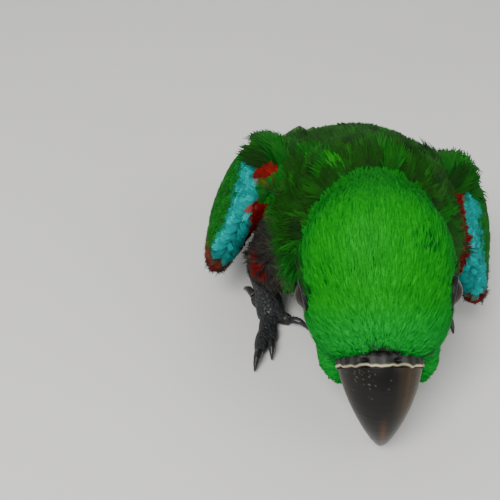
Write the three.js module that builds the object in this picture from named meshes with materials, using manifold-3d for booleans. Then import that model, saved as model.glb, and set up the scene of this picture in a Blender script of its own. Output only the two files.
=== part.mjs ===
// A young male eclectus parrot, life size, crouching with its head bowed and its wings held a little open.
// Millimetres, +Z up. The bird faces -Y, its left side is +X, and the origin is on the floor below it.
import * as THREE from "three";
import Module from "manifold-3d";

const wasm = await Module();
wasm.setup();
const { Manifold, Mesh } = wasm;
const V = (x, y, z) => new THREE.Vector3(x, y, z);

// Driving dimensions
const HEAD_WIDTH = 49;
const HEAD_LENGTH = 57; // nape to the feathers' edge at the bill
const HEAD_HEIGHT = 42;
const BILL_WIDTH = 28;
const CULMEN_RADIUS = 31; // of the arc that the bill's ridge follows
const EYE_RADIUS = 6;
const TORSO_WIDTH = 74;
const TORSO_DEPTH = 66;
const ARM_THICK = 15;
const TAIL_LENGTH = 78;
const VANE_THICK = 0.6;
const LAYER = 0.9; // from one overlapping vane to the next
const GAP = 0.3; // between pieces that meet

// Pose
const MIDDLE = V(1.8, 46.7, 0); // the floor below the middle of the bird's box, which becomes the origin
const HEAD_AT = V(3, -33, 54.5);
const HEAD_PITCH = 42; // degrees, bill down
const HEAD_TURN = 8; // degrees, crown towards the bird's right
const BODY_AT = V(5, 0, 36); // a point on the torso's long axis
const BODY_ROLL = 7; // degrees, left side down
const BODY_YAW = -2; // degrees, tail towards the bird's right

const RAD = Math.PI / 180;
const lerp = THREE.MathUtils.lerp;

// One closed solid from points and triangles, with its faces turned outwards.
function closed(points, faces) {
  const six = faces.reduce((sum, [a, b, c]) => {
    const cross = V(0, 0, 0).crossVectors(points[b], points[c]);
    return sum + points[a].dot(cross);
  }, 0);
  const turned = six < 0 ? faces.map(([a, b, c]) => [a, c, b]) : faces;
  return new Manifold(
    new Mesh({
      numProp: 3,
      vertProperties: new Float32Array(points.flatMap((p) => p.toArray())),
      triVerts: new Uint32Array(turned.flat()),
    }),
  );
}

// A skin over rings of equal counts, closed at both ends by fans.
function skin(rings) {
  const count = rings[0].length;
  const points = rings.flat();
  const faces = [];
  for (let r = 0; r + 1 < rings.length; r++)
    for (let k = 0; k < count; k++) {
      const a = r * count + k;
      const b = r * count + ((k + 1) % count);
      faces.push([a, b, b + count], [a, b + count, a + count]);
    }
  for (const [r, turn] of [
    [0, true],
    [rings.length - 1, false],
  ]) {
    const middle = rings[r].reduce((sum, p) => sum.add(p), V(0, 0, 0));
    points.push(middle.divideScalar(count));
    const pole = points.length - 1;
    for (let k = 0; k < count; k++) {
      const a = r * count + k;
      const b = r * count + ((k + 1) % count);
      faces.push(turn ? [pole, b, a] : [pole, a, b]);
    }
  }
  return closed(points, faces);
}

// Rows of numbers, eased through by a Catmull-Rom spline, at `steps` equal shares of their length.
function eased(rows, steps) {
  const last = rows.length - 1;
  const at = (i) => rows[Math.min(Math.max(i, 0), last)];
  return Array.from({ length: steps + 1 }, (_, s) => {
    const x = (s / steps) * last;
    const i = Math.min(Math.floor(x), last - 1);
    const t = x - i;
    return rows[0].map((_, c) => {
      const [a, b, d, e] = [at(i - 1)[c], at(i)[c], at(i + 1)[c], at(i + 2)[c]];
      const slope = 2 * a - 5 * b + 4 * d - e;
      const cubic = 3 * (b - d) + e - a;
      return b + 0.5 * t * (d - a + t * (slope + t * cubic));
    });
  });
}

// A body lofted along a spine. Each row is [x, y, z, half width, half depth], and `grow` thickens it.
function limb(rows, { steps = 8, sides = 16, grow = 0, across = V(1, 0, 0) } = {}) {
  const keys = eased(rows, steps);
  const spine = keys.map(([x, y, z]) => V(x, y, z));
  const rings = keys.map(([, , , wide, deep], i) => {
    const before = spine[Math.max(i - 1, 0)];
    const after = spine[Math.min(i + 1, spine.length - 1)];
    const along = after.clone().sub(before).normalize();
    const up = V(0, 0, 0).crossVectors(across, along).normalize();
    const side = V(0, 0, 0).crossVectors(along, up).normalize();
    return Array.from({ length: sides }, (_, k) => {
      const angle = ((k + 0.5) / sides) * 2 * Math.PI;
      return spine[i]
        .clone()
        .addScaledVector(side, Math.cos(angle) * (wide + grow))
        .addScaledVector(up, Math.sin(angle) * (deep + grow));
    });
  });
  return skin(rings);
}

// An egg or a ball of few faces.
function ball(centre, radii, count = 16) {
  const [rx, ry, rz] = radii;
  const rings = [];
  for (let i = 1; i < count / 2; i++) {
    const down = (i / (count / 2)) * Math.PI;
    rings.push(
      Array.from({ length: count }, (_, k) => {
        const round = (k / count) * 2 * Math.PI;
        return V(
          centre.x + rx * Math.sin(down) * Math.cos(round),
          centre.y + ry * Math.sin(down) * Math.sin(round),
          centre.z + rz * Math.cos(down),
        );
      }),
    );
  }
  return skin(rings);
}

// A thin plate over a grid of sheet points [b, u, n], with both faces split into triangles alike.
function plate(at, rows) {
  const count = rows[0].length;
  const points = [0.5, -0.5].flatMap((face) =>
    rows.flatMap((row) => row.map(([b, u, n]) => at(b, u, n + face * VANE_THICK))),
  );
  const far = rows.length * count;
  const faces = [];
  for (let r = 0; r + 1 < rows.length; r++)
    for (let k = 0; k + 1 < count; k++) {
      const [a, b, c, d] = [0, 1, count + 1, count].map((step) => r * count + k + step);
      faces.push([a, b, c], [a, c, d], [a + far, c + far, b + far], [a + far, d + far, c + far]);
    }
  const last = rows.length - 1;
  const rim = [
    ...rows[0].map((_, k) => k),
    ...rows.slice(1).map((_, r) => (r + 1) * count + count - 1),
    ...rows[0].slice(1).map((_, k) => last * count + count - 2 - k),
    ...rows.slice(2).map((_, r) => (last - 1 - r) * count),
  ];
  rim.forEach((a, i) => {
    const b = rim[(i + 1) % rim.length];
    faces.push([b, a, a + far], [b, a + far, b + far]);
  });
  return closed(points, faces);
}

// A feather's vane on a sheet, from root to tip: `level` is its height there, and `tilt` lifts one edge.
const VANE_WIDTHS = [
  // share of the length, share of the half width
  [0, 0.5],
  [0.25, 0.9],
  [0.55, 1],
  [0.8, 0.9],
  [0.94, 0.6],
  [1, 0.15],
];
function vane(at, { root, tip, wide, level, tilt }) {
  const rows = VANE_WIDTHS.map(([share, width]) =>
    [-1, 1].map((edge) => {
      const over = edge * width * wide;
      return [
        lerp(root[0], tip[0], share),
        lerp(root[1], tip[1], share) + over,
        lerp(level[0], level[1], share) - tilt * over,
      ];
    }),
  );
  return plate(at, rows);
}

// A tier of `count` overlapping vanes, eased from its first to its last.
function tier(at, count, first, last) {
  return Array.from({ length: count }, (_, i) => {
    const t = count > 1 ? i / (count - 1) : 0;
    const pair = (key) => first[key].map((value, c) => lerp(value, last[key][c], t));
    const peak = Math.sin(Math.PI * t) * (first.peak ?? 0);
    const [tipBack, tipUp] = pair("tip");
    return vane(at, {
      root: pair("root"),
      tip: [tipBack + peak, tipUp],
      level: pair("level"),
      wide: lerp(first.wide, last.wide, t),
      tilt: first.tilt,
    });
  });
}

// The largest closed surface of a solid, without hollows or scraps.
function whole(solid) {
  const bodies = solid.decompose().filter((b) => b.volume() > 0);
  return bodies.reduce((most, b) => (b.volume() > most.volume() ? b : most));
}

const join = (solids) => Manifold.union(solids);
const posed = (solid, matrix) => solid.transform(matrix.elements);
const aboveFloor = (solid) => solid.trimByPlane([0, 0, 1], 0);
const behind = (solid, y) => solid.trimByPlane([0, 1, 0], y);
const before = (solid, y) => solid.trimByPlane([0, -1, 0], -y);

// Torso, along its own axis: [back, up, half width, half depth]
const TORSO_ROWS = [
  [-32, 33, 0.1, 0.13],
  [-26, 37, 0.27, 0.29],
  [-14, 41, 0.41, 0.42],
  [3, 41, 0.485, 0.49],
  [20, 38.5, 0.5, 0.5],
  [37, 33, 0.47, 0.46],
  [53, 23.7, 0.4, 0.39],
  [68, 16.7, 0.3, 0.29],
  [80, 14, 0.2, 0.2],
  [92, 11.5, 0.13, 0.13],
].map(([y, z, wide, deep]) => [0, y, z, wide * TORSO_WIDTH, deep * TORSO_DEPTH]);
const RUMP_Y = 84; // where the tail is set on
const bodyMatrix = new THREE.Matrix4()
  .makeTranslation(BODY_AT)
  .multiply(new THREE.Matrix4().makeRotationZ(-BODY_YAW * RAD))
  .multiply(new THREE.Matrix4().makeRotationY(BODY_ROLL * RAD))
  .multiply(new THREE.Matrix4().makeTranslation(0, 0, -BODY_AT.z));
const inBody = (solid) => posed(solid, bodyMatrix);
const torsoForm = (grow) => limb(TORSO_ROWS, { steps: 16, sides: 24, grow });
const torsoRoom = inBody(torsoForm(GAP));

// Head, in its own frame: -Y to the bill, +Z to the crown
const headMatrix = new THREE.Matrix4()
  .makeTranslation(HEAD_AT)
  .multiply(new THREE.Matrix4().makeRotationX(HEAD_PITCH * RAD))
  .multiply(new THREE.Matrix4().makeRotationY(-HEAD_TURN * RAD));
const inHead = (solid) => posed(solid, headMatrix);

const FACE_Y = -0.5 * HEAD_LENGTH; // where the feathers meet the cere
const SKULL_ROWS = [
  // forwards, up, half width, half height
  [-0.5, 0.02, 0.1, 0.1],
  [-0.46, 0.02, 0.2, 0.2],
  [-0.37, 0.01, 0.32, 0.33],
  [-0.24, 0, 0.43, 0.45],
  [-0.08, 0, 0.49, 0.5],
  [0.08, -0.01, 0.5, 0.5],
  [0.23, -0.04, 0.48, 0.475],
  [0.37, -0.09, 0.43, 0.42],
  [0.47, -0.14, 0.34, 0.34],
  [0.53, -0.17, 0.2, 0.22],
].map(([forward, up, wide, high]) => [
  0,
  -forward * HEAD_LENGTH,
  up * HEAD_HEIGHT,
  wide * HEAD_WIDTH,
  high * HEAD_HEIGHT,
]);
const skull = (grow) => limb(SKULL_ROWS, { steps: 14, sides: 24, grow });
const lid = (side, grow) =>
  ball(V(side * EYE_AT.x, EYE_AT.y, EYE_AT.z), [5.6, 7.6, 7.6].map((r) => r + grow), 16);
const cheek = (side, grow) => ball(V(side * 12, -24, -11), [8, 13, 9].map((r) => r + grow), 12);

const EYE_AT = V(18.9, -8.5, 2);
const eyeBall = (side, grow = 0) =>
  ball(V(side * EYE_AT.x, EYE_AT.y, EYE_AT.z), [1, 1, 1].map(() => EYE_RADIUS + grow), 16);

// Upper bill: sections turned about the centre of the culmen's arc, from the cere to the tip
const CULMEN_AT = V(0, FACE_Y + 4, -20);
const BILL_ROWS = [
  // degrees round the arc, half width, depth
  [96, 0.5, 20],
  [80, 0.49, 19.5],
  [64, 0.45, 18],
  [48, 0.375, 15],
  [32, 0.27, 11.5],
  [16, 0.155, 7.5],
  [0, 0.045, 2.5],
];
function upperBillForm(grow) {
  const rings = eased(BILL_ROWS, 12).map(([degrees, wide, deep]) => {
    const out = V(0, -Math.cos(degrees * RAD), Math.sin(degrees * RAD));
    return Array.from({ length: 16 }, (_, k) => {
      const angle = (k / 16) * 2 * Math.PI;
      const drop = 0.5 - 0.5 * Math.cos(angle);
      const radius = CULMEN_RADIUS + grow - drop * (deep + 2 * grow);
      const spread = Math.sin(angle) * (0.85 + 0.2 * drop);
      return CULMEN_AT.clone()
        .addScaledVector(out, radius)
        .setX(spread * (wide * BILL_WIDTH + grow));
    });
  });
  return skin(rings);
}
const LOWER_BILL_ROWS = [
  // forwards of the face, up, half width, half height
  [-4, -13, 10.5, 6],
  [4, -14.5, 10, 6.5],
  [10, -16.5, 8.5, 5.5],
  [15, -17.5, 5.5, 3.5],
  [18, -17, 2.5, 1.2],
].map(([forward, up, wide, high]) => [0, FACE_Y - forward, up, wide, high]);
const lowerBillForm = (grow) => limb(LOWER_BILL_ROWS, { steps: 6, sides: 12, grow });

const CERE_LENGTH = 3;
function buildHead() {
  const bill = upperBillForm(0);
  const cere = before(behind(bill, FACE_Y - CERE_LENGTH), FACE_Y - GAP);
  const upper = before(bill, FACE_Y - CERE_LENGTH - GAP);
  const nostrils = [-1, 1].map((s) => ball(V(s * 5, FACE_Y - 1.6, 10.2), [1.3, 1, 1.5], 8));
  const lower = before(lowerBillForm(0), FACE_Y - GAP).subtract(upperBillForm(GAP));
  const flesh = join([skull(0), ...[-1, 1].flatMap((s) => [cheek(s, 0), lid(s, 0)])]);
  const sockets = join([eyeBall(-1, GAP), eyeBall(1, GAP)]);
  const bills = join([before(upperBillForm(GAP), FACE_Y), before(lowerBillForm(GAP), FACE_Y)]);
  return {
    head: inHead(whole(flesh.subtract(sockets).subtract(bills))),
    cere: inHead(whole(cere.subtract(join(nostrils)))),
    upper_bill: inHead(whole(upper)),
    lower_bill: inHead(whole(lower)),
    eye_left: inHead(eyeBall(1)),
    eye_right: inHead(eyeBall(-1)),
  };
}
const headRoom = inHead(
  join([skull(GAP), ...[-1, 1].flatMap((s) => [cheek(s, GAP), lid(s, GAP)])]),
);

const buildTorso = () =>
  whole(aboveFloor(inBody(before(torsoForm(0), RUMP_Y))).subtract(headRoom));

// Neck: a short drawn-in collar between the shoulders and the back of the skull
const NECK_ROWS = [
  [5, 14, 62, 20, 15],
  [5, 2, 61, 24, 19],
  [4, -10, 59, 23, 19],
  [3, -22, 57, 18, 15],
];
const neckForm = (grow) => limb(NECK_ROWS, { steps: 6, sides: 20, grow });
const buildNeck = () => whole(neckForm(0).subtract(join([torsoRoom, headRoom])));

// Wings. Each is a sheet from its wrist: b back to the wing's tip, u up to the shoulder, n outwards.
const WINGS = {
  left: {
    side: 1,
    shoulder: V(34, 0, 55),
    wrist: V(46, -7, 23),
    tip: V(29, 126, 13),
    bow: [0, 11, 14, 11, 6, 0],
  },
  right: {
    side: -1,
    shoulder: V(-31, 8, 62),
    wrist: V(-48, 8, 26),
    tip: V(-24, 130, 14),
    bow: [0, 5, 6, 4, 2, 0],
  },
};
for (const wing of Object.values(WINGS)) {
  const span = wing.tip.clone().sub(wing.wrist);
  const rise = wing.shoulder.clone().sub(wing.wrist);
  wing.length = span.length();
  wing.back = span.normalize();
  wing.shoulderBack = rise.dot(wing.back);
  wing.up = rise.addScaledVector(wing.back, -wing.shoulderBack);
  wing.height = wing.up.length();
  wing.up.normalize();
  wing.out = V(0, 0, 0).crossVectors(wing.back, wing.up).multiplyScalar(wing.side);
  const bows = eased(
    wing.bow.map((n) => [n]),
    40,
  );
  wing.at = (b, u, n) => {
    const share = THREE.MathUtils.clamp(b / wing.length, 0, 1) * 40;
    const i = Math.min(Math.floor(share), 39);
    const bow = lerp(bows[i][0], bows[i + 1][0], share - i);
    return wing.wrist
      .clone()
      .addScaledVector(wing.back, b)
      .addScaledVector(wing.up, u)
      .addScaledVector(wing.out, n + bow);
  };
}

const ARM_ROWS = [
  // share of the height, front, back, half thickness, middle
  [-0.16, 0, 8, 0.12, 0],
  [-0.08, -4, 15, 0.32, 0],
  [0.1, -7, 32, 0.46, 0],
  [0.35, -7, 46, 0.5, 0],
  [0.6, -7, 50, 0.5, -0.5],
  [0.82, -6, 44, 0.46, -2],
  [1, -4, 32, 0.38, -4],
  [1.1, 2, 22, 0.2, -5],
];
function armForm(wing) {
  const rings = eased(ARM_ROWS, 12).map(([share, front, back, thick, middle]) =>
    Array.from({ length: 18 }, (_, k) => {
      const angle = (k / 18) * 2 * Math.PI;
      const b = (front + back) / 2 + (Math.cos(angle) * (back - front)) / 2;
      const lead = Math.max(share, 0) * wing.shoulderBack;
      return wing.at(b + lead, share * wing.height, middle + Math.sin(angle) * thick * ARM_THICK);
    }),
  );
  return skin(rings);
}
// A blade along the wing: each row is [back, up, half height, half thickness]
function bladeForm(wing, rows, steps) {
  const rings = eased(rows, steps).map(([b, u, high, thick]) =>
    Array.from({ length: 12 }, (_, k) => {
      const angle = (k / 12) * 2 * Math.PI;
      return wing.at(b, u + Math.cos(angle) * high, Math.sin(angle) * thick);
    }),
  );
  return skin(rings);
}
const HAND_ROWS = [
  [-5, -1, 2, 2],
  [2, -1, 6, 5],
  [16, -2, 6.5, 4],
  [32, -3, 5, 3],
  [42, -4, 2, 1.2],
];
// The wing's feathers, from its top edge down: each tier is [count, first vane, last vane]. Places along
// the wing are shares of its length, and places up it are shares of its height.
const WING_TIERS = [
  // tertials
  [
    2,
    { root: [0.26, 0.56], tip: [0.62, 0.24], level: [3, 3.6], wide: 7, tilt: 0.28 },
    { root: [0.26, 0.5], tip: [0.67, 0.16], level: [2.7, 3.2], wide: 7.5 },
  ],
  // secondaries
  [
    7,
    { root: [0.26, 0.44], tip: [0.72, 0.1], level: [2.4, 2.6], wide: 7.5, tilt: 0.3, peak: 0.03 },
    { root: [0.08, 0.04], tip: [0.72, -0.12], level: [0.6, 0.2], wide: 6.5 },
  ],
  // primaries
  [
    7,
    { root: [0.08, 0], tip: [0.77, -0.03], level: [0.2, -0.6], wide: 6.5, tilt: 0.28, peak: 0.1 },
    { root: [0.27, -0.06], tip: [0.94, -0.1], level: [-2.4, -3.6], wide: 4.5 },
  ],
  // greater coverts
  [
    7,
    { root: [0.18, 0.54], tip: [0.44, 0.36], level: [4.6, 6.4], wide: 6, tilt: 0.16 },
    { root: [0.05, 0.12], tip: [0.36, 0.14], level: [4, 4.6], wide: 5.5 },
  ],
  // primary coverts
  [
    5,
    { root: [0.05, 0.02], tip: [0.36, 0.06], level: [2, 3.6], wide: 4.5, tilt: 0.16 },
    { root: [0.16, -0.1], tip: [0.46, -0.1], level: [0.8, 0.6], wide: 3.5 },
  ],
];
function wingFeathers(wing) {
  const at = (b, u, n) => wing.at(b * wing.length, u, n);
  return WING_TIERS.flatMap(([count, ...ends]) => {
    const [first, last] = ends.map((end) => ({
      ...end,
      root: [end.root[0], end.root[1] * wing.height],
      tip: [end.tip[0], end.tip[1] * wing.height],
    }));
    return tier(at, count, first, last);
  });
}
function buildWing(wing) {
  const solids = [armForm(wing), bladeForm(wing, HAND_ROWS, 7), ...wingFeathers(wing)];
  const legRoom = thighForm(wing.side, GAP);
  const room = join([torsoRoom, headRoom, neckForm(GAP), legRoom, inTail(rumpForm(GAP))]);
  return whole(aboveFloor(join(solids).subtract(room)));
}

// Tail: the rump's end, and a fan of feathers that lies along the floor, the middle pair on top
const tailMatrix = new THREE.Matrix4()
  .makeTranslation(BODY_AT.x - 2.8, 0, 0)
  .multiply(new THREE.Matrix4().makeRotationZ(-BODY_YAW * RAD));
const inTail = (solid) => posed(solid, tailMatrix);
const RUMP_ROWS = [
  // back, up, half width, half thickness
  [RUMP_Y - 4, 13, 12.5, 11.5],
  [RUMP_Y + 8, 9.5, 11, 9.5],
  [RUMP_Y + 18, 6.5, 9.5, 6.5],
  [RUMP_Y + 27, 4.6, 8, 3.6],
  [RUMP_Y + 33, 4, 5.5, 1.6],
].map(([y, z, wide, thick]) => [0, y, z, wide, thick]);
const rumpForm = (grow) => limb(RUMP_ROWS, { steps: 8, sides: 16, grow });
const TAIL_PAIRS = 5;
function tailFeathers() {
  const lie = (b) => lerp(11, 4.6, Math.sin(Math.min(1, b / (0.7 * TAIL_LENGTH)) * 0.5 * Math.PI));
  const at = (b, u, n) => V(u, RUMP_Y + b, lie(b) + n);
  const vanes = [];
  for (const side of [-1, 1]) {
    for (let i = 0; i < TAIL_PAIRS; i++) {
      const level = i === 0 && side < 0 ? LAYER : -LAYER * i;
      vanes.push(
        vane(at, {
          root: [6, side * (1 + 1.4 * i)],
          tip: [TAIL_LENGTH - 1.1 * i * i, side * (4 + 3.4 * i)],
          wide: 8,
          level: [0.5 * level, level],
          tilt: 0,
        }),
      );
    }
    for (const [reach, out] of [
      [46, 3],
      [38, 8],
    ])
      vanes.push(
        vane(at, {
          root: [4, side * out * 0.6],
          tip: [reach, side * out],
          wide: 5.5,
          level: [2, (side < 0 ? 3 : 2.2) * LAYER - 0.1 * out],
          tilt: 0,
        }),
      );
  }
  return vanes;
}
const buildTail = () => {
  const tail = join([rumpForm(0), ...tailFeathers()]);
  return whole(aboveFloor(inTail(behind(tail, RUMP_Y + GAP))));
};

// Legs. The right one stands clear of the body, and the left one mirrors it about the torso's middle.
const LEG_MIDDLE = 4;
const legPoint = (side, [out, y, z]) =>
  V(LEG_MIDDLE + side * out, y + (side > 0 ? LEFT_LEG_BACK : 0), z);
const LEFT_LEG_BACK = 20; // the left foot is set this much further back
const HEEL = [36, 22, 11];
const FOOT = [32, 3, 5];
const KNEE = [25, 0, 30];
const thighForm = (side, grow) => {
  const rows = [
    [KNEE, 12, 12],
    [[30, 8, 24], 10, 10],
    [[34, 15, 17], 7.5, 7.5],
    [HEEL, 5, 5],
  ].map(([at, wide, deep]) => [...legPoint(side, at).toArray(), wide, deep]);
  return limb(rows, { steps: 6, sides: 14, grow });
};
const TOES = [
  // name, degrees from straight ahead towards the outside, length, radius
  ["1", -62, 9, 2.8],
  ["2", 0, 16, 3],
  ["3", 12, 22, 3.2],
  ["4", 148, 12, 3],
];
const toeWay = (side, degrees) =>
  V(side * Math.sin(degrees * RAD), -Math.cos(degrees * RAD), 0);
const sideways = (way) => V(-way.y, way.x, 0).normalize();
function toeForm(side, [, degrees, length, radius]) {
  const way = toeWay(side, degrees);
  const start = legPoint(side, FOOT);
  const rows = [
    [0, 0.9],
    [0.3, 1.05],
    [0.5, 0.85],
    [0.75, 1],
    [1, 0.62],
  ].map(([share, thick]) => {
    const at = start.clone().addScaledVector(way, share * length);
    const low = lerp(0, 2.6 - FOOT[2], Math.min(1, share * 2));
    return [at.x, at.y, at.z + low, radius * thick, radius * thick];
  });
  return limb(rows, { steps: 6, sides: 8, across: sideways(way) });
}
function clawForm(side, [, degrees, length, radius]) {
  const way = toeWay(side, degrees);
  const reach = radius * 2.6;
  const start = legPoint(side, FOOT).setZ(3).addScaledVector(way, length + GAP);
  const rows = [
    [0, 0.2, 0.56],
    [0.35, 0.9, 0.5],
    [0.7, 0.3, 0.36],
    [1, -2, 0.1],
  ].map(([share, rise, thick]) => {
    const at = start.clone().addScaledVector(way, share * reach);
    return [at.x, at.y, at.z + rise, radius * thick, radius * thick];
  });
  return limb(rows, { steps: 4, sides: 6, across: sideways(way) });
}
function buildLeg(side, name) {
  const shank = limb(
    [
      [[HEEL[0], HEEL[1] + 4, HEEL[2]], 4.5, 4.5],
      [HEEL, 5.6, 5.6],
      [[34, 11, 9], 4.6, 4.6],
      [FOOT, 6, 5],
      [[FOOT[0], FOOT[1] - 4, FOOT[2] - 1], 5, 4],
    ].map(([at, wide, deep]) => [...legPoint(side, at).toArray(), wide, deep]),
    { steps: 6, sides: 10 },
  );
  const foot = join([shank, ...TOES.map((toe) => toeForm(side, toe))]);
  const room = join([thighForm(side, GAP), torsoRoom]);
  const nodes = {
    [`thigh_${name}`]: whole(thighForm(side, 0).subtract(torsoRoom)),
    [`foot_${name}`]: whole(aboveFloor(foot.subtract(room))),
  };
  for (const toe of TOES)
    nodes[`claw_${name}_${toe[0]}`] = whole(aboveFloor(clawForm(side, toe).subtract(foot)));
  return nodes;
}

// Finishes
const finish = (color, roughness) => new THREE.MeshStandardMaterial({ color, roughness });
const FINISHES = {
  feathers: finish(0x159420, 0.6),
  down: finish(0x3a352b, 0.9),
  bill: finish(0x2b231c, 0.35),
  cere: finish(0x4c4a46, 0.6),
  eye: finish(0x120a08, 0.1),
  scales: finish(0x26262a, 0.6),
  claws: finish(0x17161a, 0.4),
};
const finishOf = (name) => {
  if (name.startsWith("claw")) return FINISHES.claws;
  if (name.startsWith("foot")) return FINISHES.scales;
  if (name.startsWith("thigh")) return FINISHES.down;
  if (name.startsWith("eye")) return FINISHES.eye;
  if (name.endsWith("bill")) return FINISHES.bill;
  return name === "cere" ? FINISHES.cere : FINISHES.feathers;
};

function meshOf(name, solid) {
  const made = solid.translate(-MIDDLE.x, -MIDDLE.y, 0).getMesh();
  const flat = new Float32Array(made.numVert * 3);
  for (let i = 0; i < made.numVert; i++)
    for (let c = 0; c < 3; c++) flat[i * 3 + c] = made.vertProperties[i * made.numProp + c];
  const geometry = new THREE.BufferGeometry()
    .setAttribute("position", new THREE.BufferAttribute(flat, 3))
    .setIndex(new THREE.BufferAttribute(new Uint32Array(made.triVerts), 1));
  const mesh = new THREE.Mesh(geometry, finishOf(name));
  mesh.name = name;
  return mesh;
}

const bird = new THREE.Group();
const nodes = {
  torso: buildTorso(),
  neck: buildNeck(),
  ...buildHead(),
  wing_left: buildWing(WINGS.left),
  wing_right: buildWing(WINGS.right),
  tail: buildTail(),
  ...buildLeg(1, "left"),
  ...buildLeg(-1, "right"),
};
for (const [name, solid] of Object.entries(nodes)) bird.add(meshOf(name, solid));

export default bird;
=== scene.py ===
# A young male eclectus parrot, life size, crouching with its head bowed and its wings a little open.
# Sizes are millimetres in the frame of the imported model, unless a line says otherwise.
import math

import bmesh
import bpy
import numpy as np
from mathutils import Matrix, Vector
from mathutils.bvhtree import BVHTree


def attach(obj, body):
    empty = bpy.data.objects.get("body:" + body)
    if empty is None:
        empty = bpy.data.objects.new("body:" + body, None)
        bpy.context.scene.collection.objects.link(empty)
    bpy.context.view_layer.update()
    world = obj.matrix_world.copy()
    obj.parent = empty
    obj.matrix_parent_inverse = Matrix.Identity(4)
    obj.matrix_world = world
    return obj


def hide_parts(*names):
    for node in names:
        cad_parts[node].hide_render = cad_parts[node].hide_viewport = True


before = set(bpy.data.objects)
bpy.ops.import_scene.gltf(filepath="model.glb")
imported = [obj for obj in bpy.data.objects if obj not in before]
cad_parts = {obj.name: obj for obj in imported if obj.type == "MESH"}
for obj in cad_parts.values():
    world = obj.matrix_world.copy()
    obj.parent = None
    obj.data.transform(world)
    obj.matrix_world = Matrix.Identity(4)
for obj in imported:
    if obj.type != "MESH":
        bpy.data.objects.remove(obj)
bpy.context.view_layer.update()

# --- View -------------------------------------------------------------------------------------
# A hand-held look down on the bowed head, from in front and a little to the bird's right. Its place is
# in metres.
view = bpy.data.cameras.new("view")
view.sensor_width = 36
view.lens = 50.4
view.clip_start = 0.01
camera = bpy.data.objects.new("view", view)
camera.location = (-0.0378, -0.2517, 0.1865)
camera.rotation_euler = (math.radians(90 - 36.3), 0, 0)
bpy.context.collection.objects.link(camera)
bpy.context.scene.camera = camera


# --- Floor and light --------------------------------------------------------------------------
# A plain matt floor of pale painted board, under soft white studio lights.
def linear(colour):
    """A colour written as sRGB hex, as the linear numbers that Blender wants."""
    parts = [int(colour[i : i + 2], 16) / 255 for i in (1, 3, 5)]
    return tuple(c / 12.92 if c <= 0.04045 else ((c + 0.055) / 1.055) ** 2.4 for c in parts)


def add_node(material, kind, settings=None, **sockets):
    """Adds a shader node. A socket is given a value, or an output of another node to link to."""
    tree = material.node_tree
    made = tree.nodes.new("ShaderNode" + kind)
    for name, value in (settings or {}).items():
        setattr(made, name, value)
    for name, value in sockets.items():
        socket = made.inputs[int(name[1:])] if name[0] == "_" else made.inputs[name.replace("_", " ")]
        if isinstance(value, bpy.types.NodeSocket):
            tree.links.new(value, socket)
        else:
            socket.default_value = value
    return made


def new_material(name):
    """An empty material, with its output node."""
    material = bpy.data.materials.new(name)
    material.use_nodes = True
    material.node_tree.nodes.clear()
    return material, add_node(material, "OutputMaterial")


def plastered(name, shader_of):
    """A material whose shader comes from a function of the material."""
    material, output = new_material(name)
    shader = shader_of(material)
    material.node_tree.links.new(shader.outputs[0], output.inputs["Surface"])
    return material


def pale_board(material):
    """Matt paint on board: an even pale floor, with a faint grain about 17 mm wide."""
    grain = add_node(material, "TexNoise", Scale=60.0, Detail=3.0)
    tint = add_node(material, "ValToRGB", Fac=grain.outputs["Fac"])
    tint.color_ramp.elements[0].color = (*linear("#cfcdc8"), 1)
    tint.color_ramp.elements[1].color = (*linear("#d8d6d2"), 1)
    return add_node(material, "BsdfPrincipled", Base_Color=tint.outputs["Color"], Roughness=0.9)


bpy.ops.mesh.primitive_plane_add(size=24, location=(0, 0, 0))
floor = bpy.context.object
floor.name = "floor"
floor.data.materials.append(plastered("painted_board_matt", pale_board))

for name, place, target, size, power in [
    # metres and watts
    ("key_light", (-0.4, -0.8, 0.95), (0, -0.03, 0.04), 0.6, 20.0),
    ("fill_light", (0.9, -0.7, 0.7), (0, 0, 0.03), 0.9, 5.0),
    ("back_light", (0.1, 1.1, 0.9), (0, 0, 0.03), 0.8, 4.0),
]:
    lamp = bpy.data.lights.new(name, "AREA")
    lamp.size = size
    lamp.energy = power
    light = bpy.data.objects.new(name, lamp)
    light.location = place
    aim = Vector(target) - Vector(place)
    light.rotation_euler = aim.to_track_quat("-Z", "Y").to_euler()
    bpy.context.collection.objects.link(light)
room = bpy.data.worlds.new("room")
room.use_nodes = True
room.node_tree.nodes["Background"].inputs["Color"].default_value = (*linear("#e9edf0"), 1)
room.node_tree.nodes["Background"].inputs["Strength"].default_value = 0.55
bpy.context.scene.world = room


# --- Body under the feathers --------------------------------------------------------------------
# One soft skin over the head, neck, body, thighs and the fleshy fore-part of the wings. It lies inside
# the imported forms by the depth of the coat, and carries the plumage's colours below the feathers,
# darkened there as painted shade.
MM = 0.001
MIDDLE = np.array([1.8, 46.7, 0.0])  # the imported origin, in the frame of the sizes given below
COAT_DEPTH = 1.3
SKIN_VOXEL = 1.3


def eased(rows, steps):
    """Rows of numbers, eased through by a Catmull-Rom spline, at steps + 1 equal shares."""
    rows = np.array(rows, float)
    x = np.linspace(0, len(rows) - 1, steps + 1)
    i = np.minimum(x.astype(int), len(rows) - 2)
    t = (x - i)[:, None]
    a, b = rows[np.maximum(i - 1, 0)], rows[i]
    d, e = rows[i + 1], rows[np.minimum(i + 2, len(rows) - 1)]
    return b + 0.5 * t * (d - a + t * (2 * a - 5 * b + 4 * d - e + t * (3 * (b - d) + e - a)))


def turned(axis, degrees):
    """A matrix that turns about an axis."""
    return np.array(Matrix.Rotation(math.radians(degrees), 3, axis))


def unit(v):
    """Vectors made one long."""
    return v / np.maximum(np.linalg.norm(v, axis=-1, keepdims=True), 1e-9)


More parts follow.
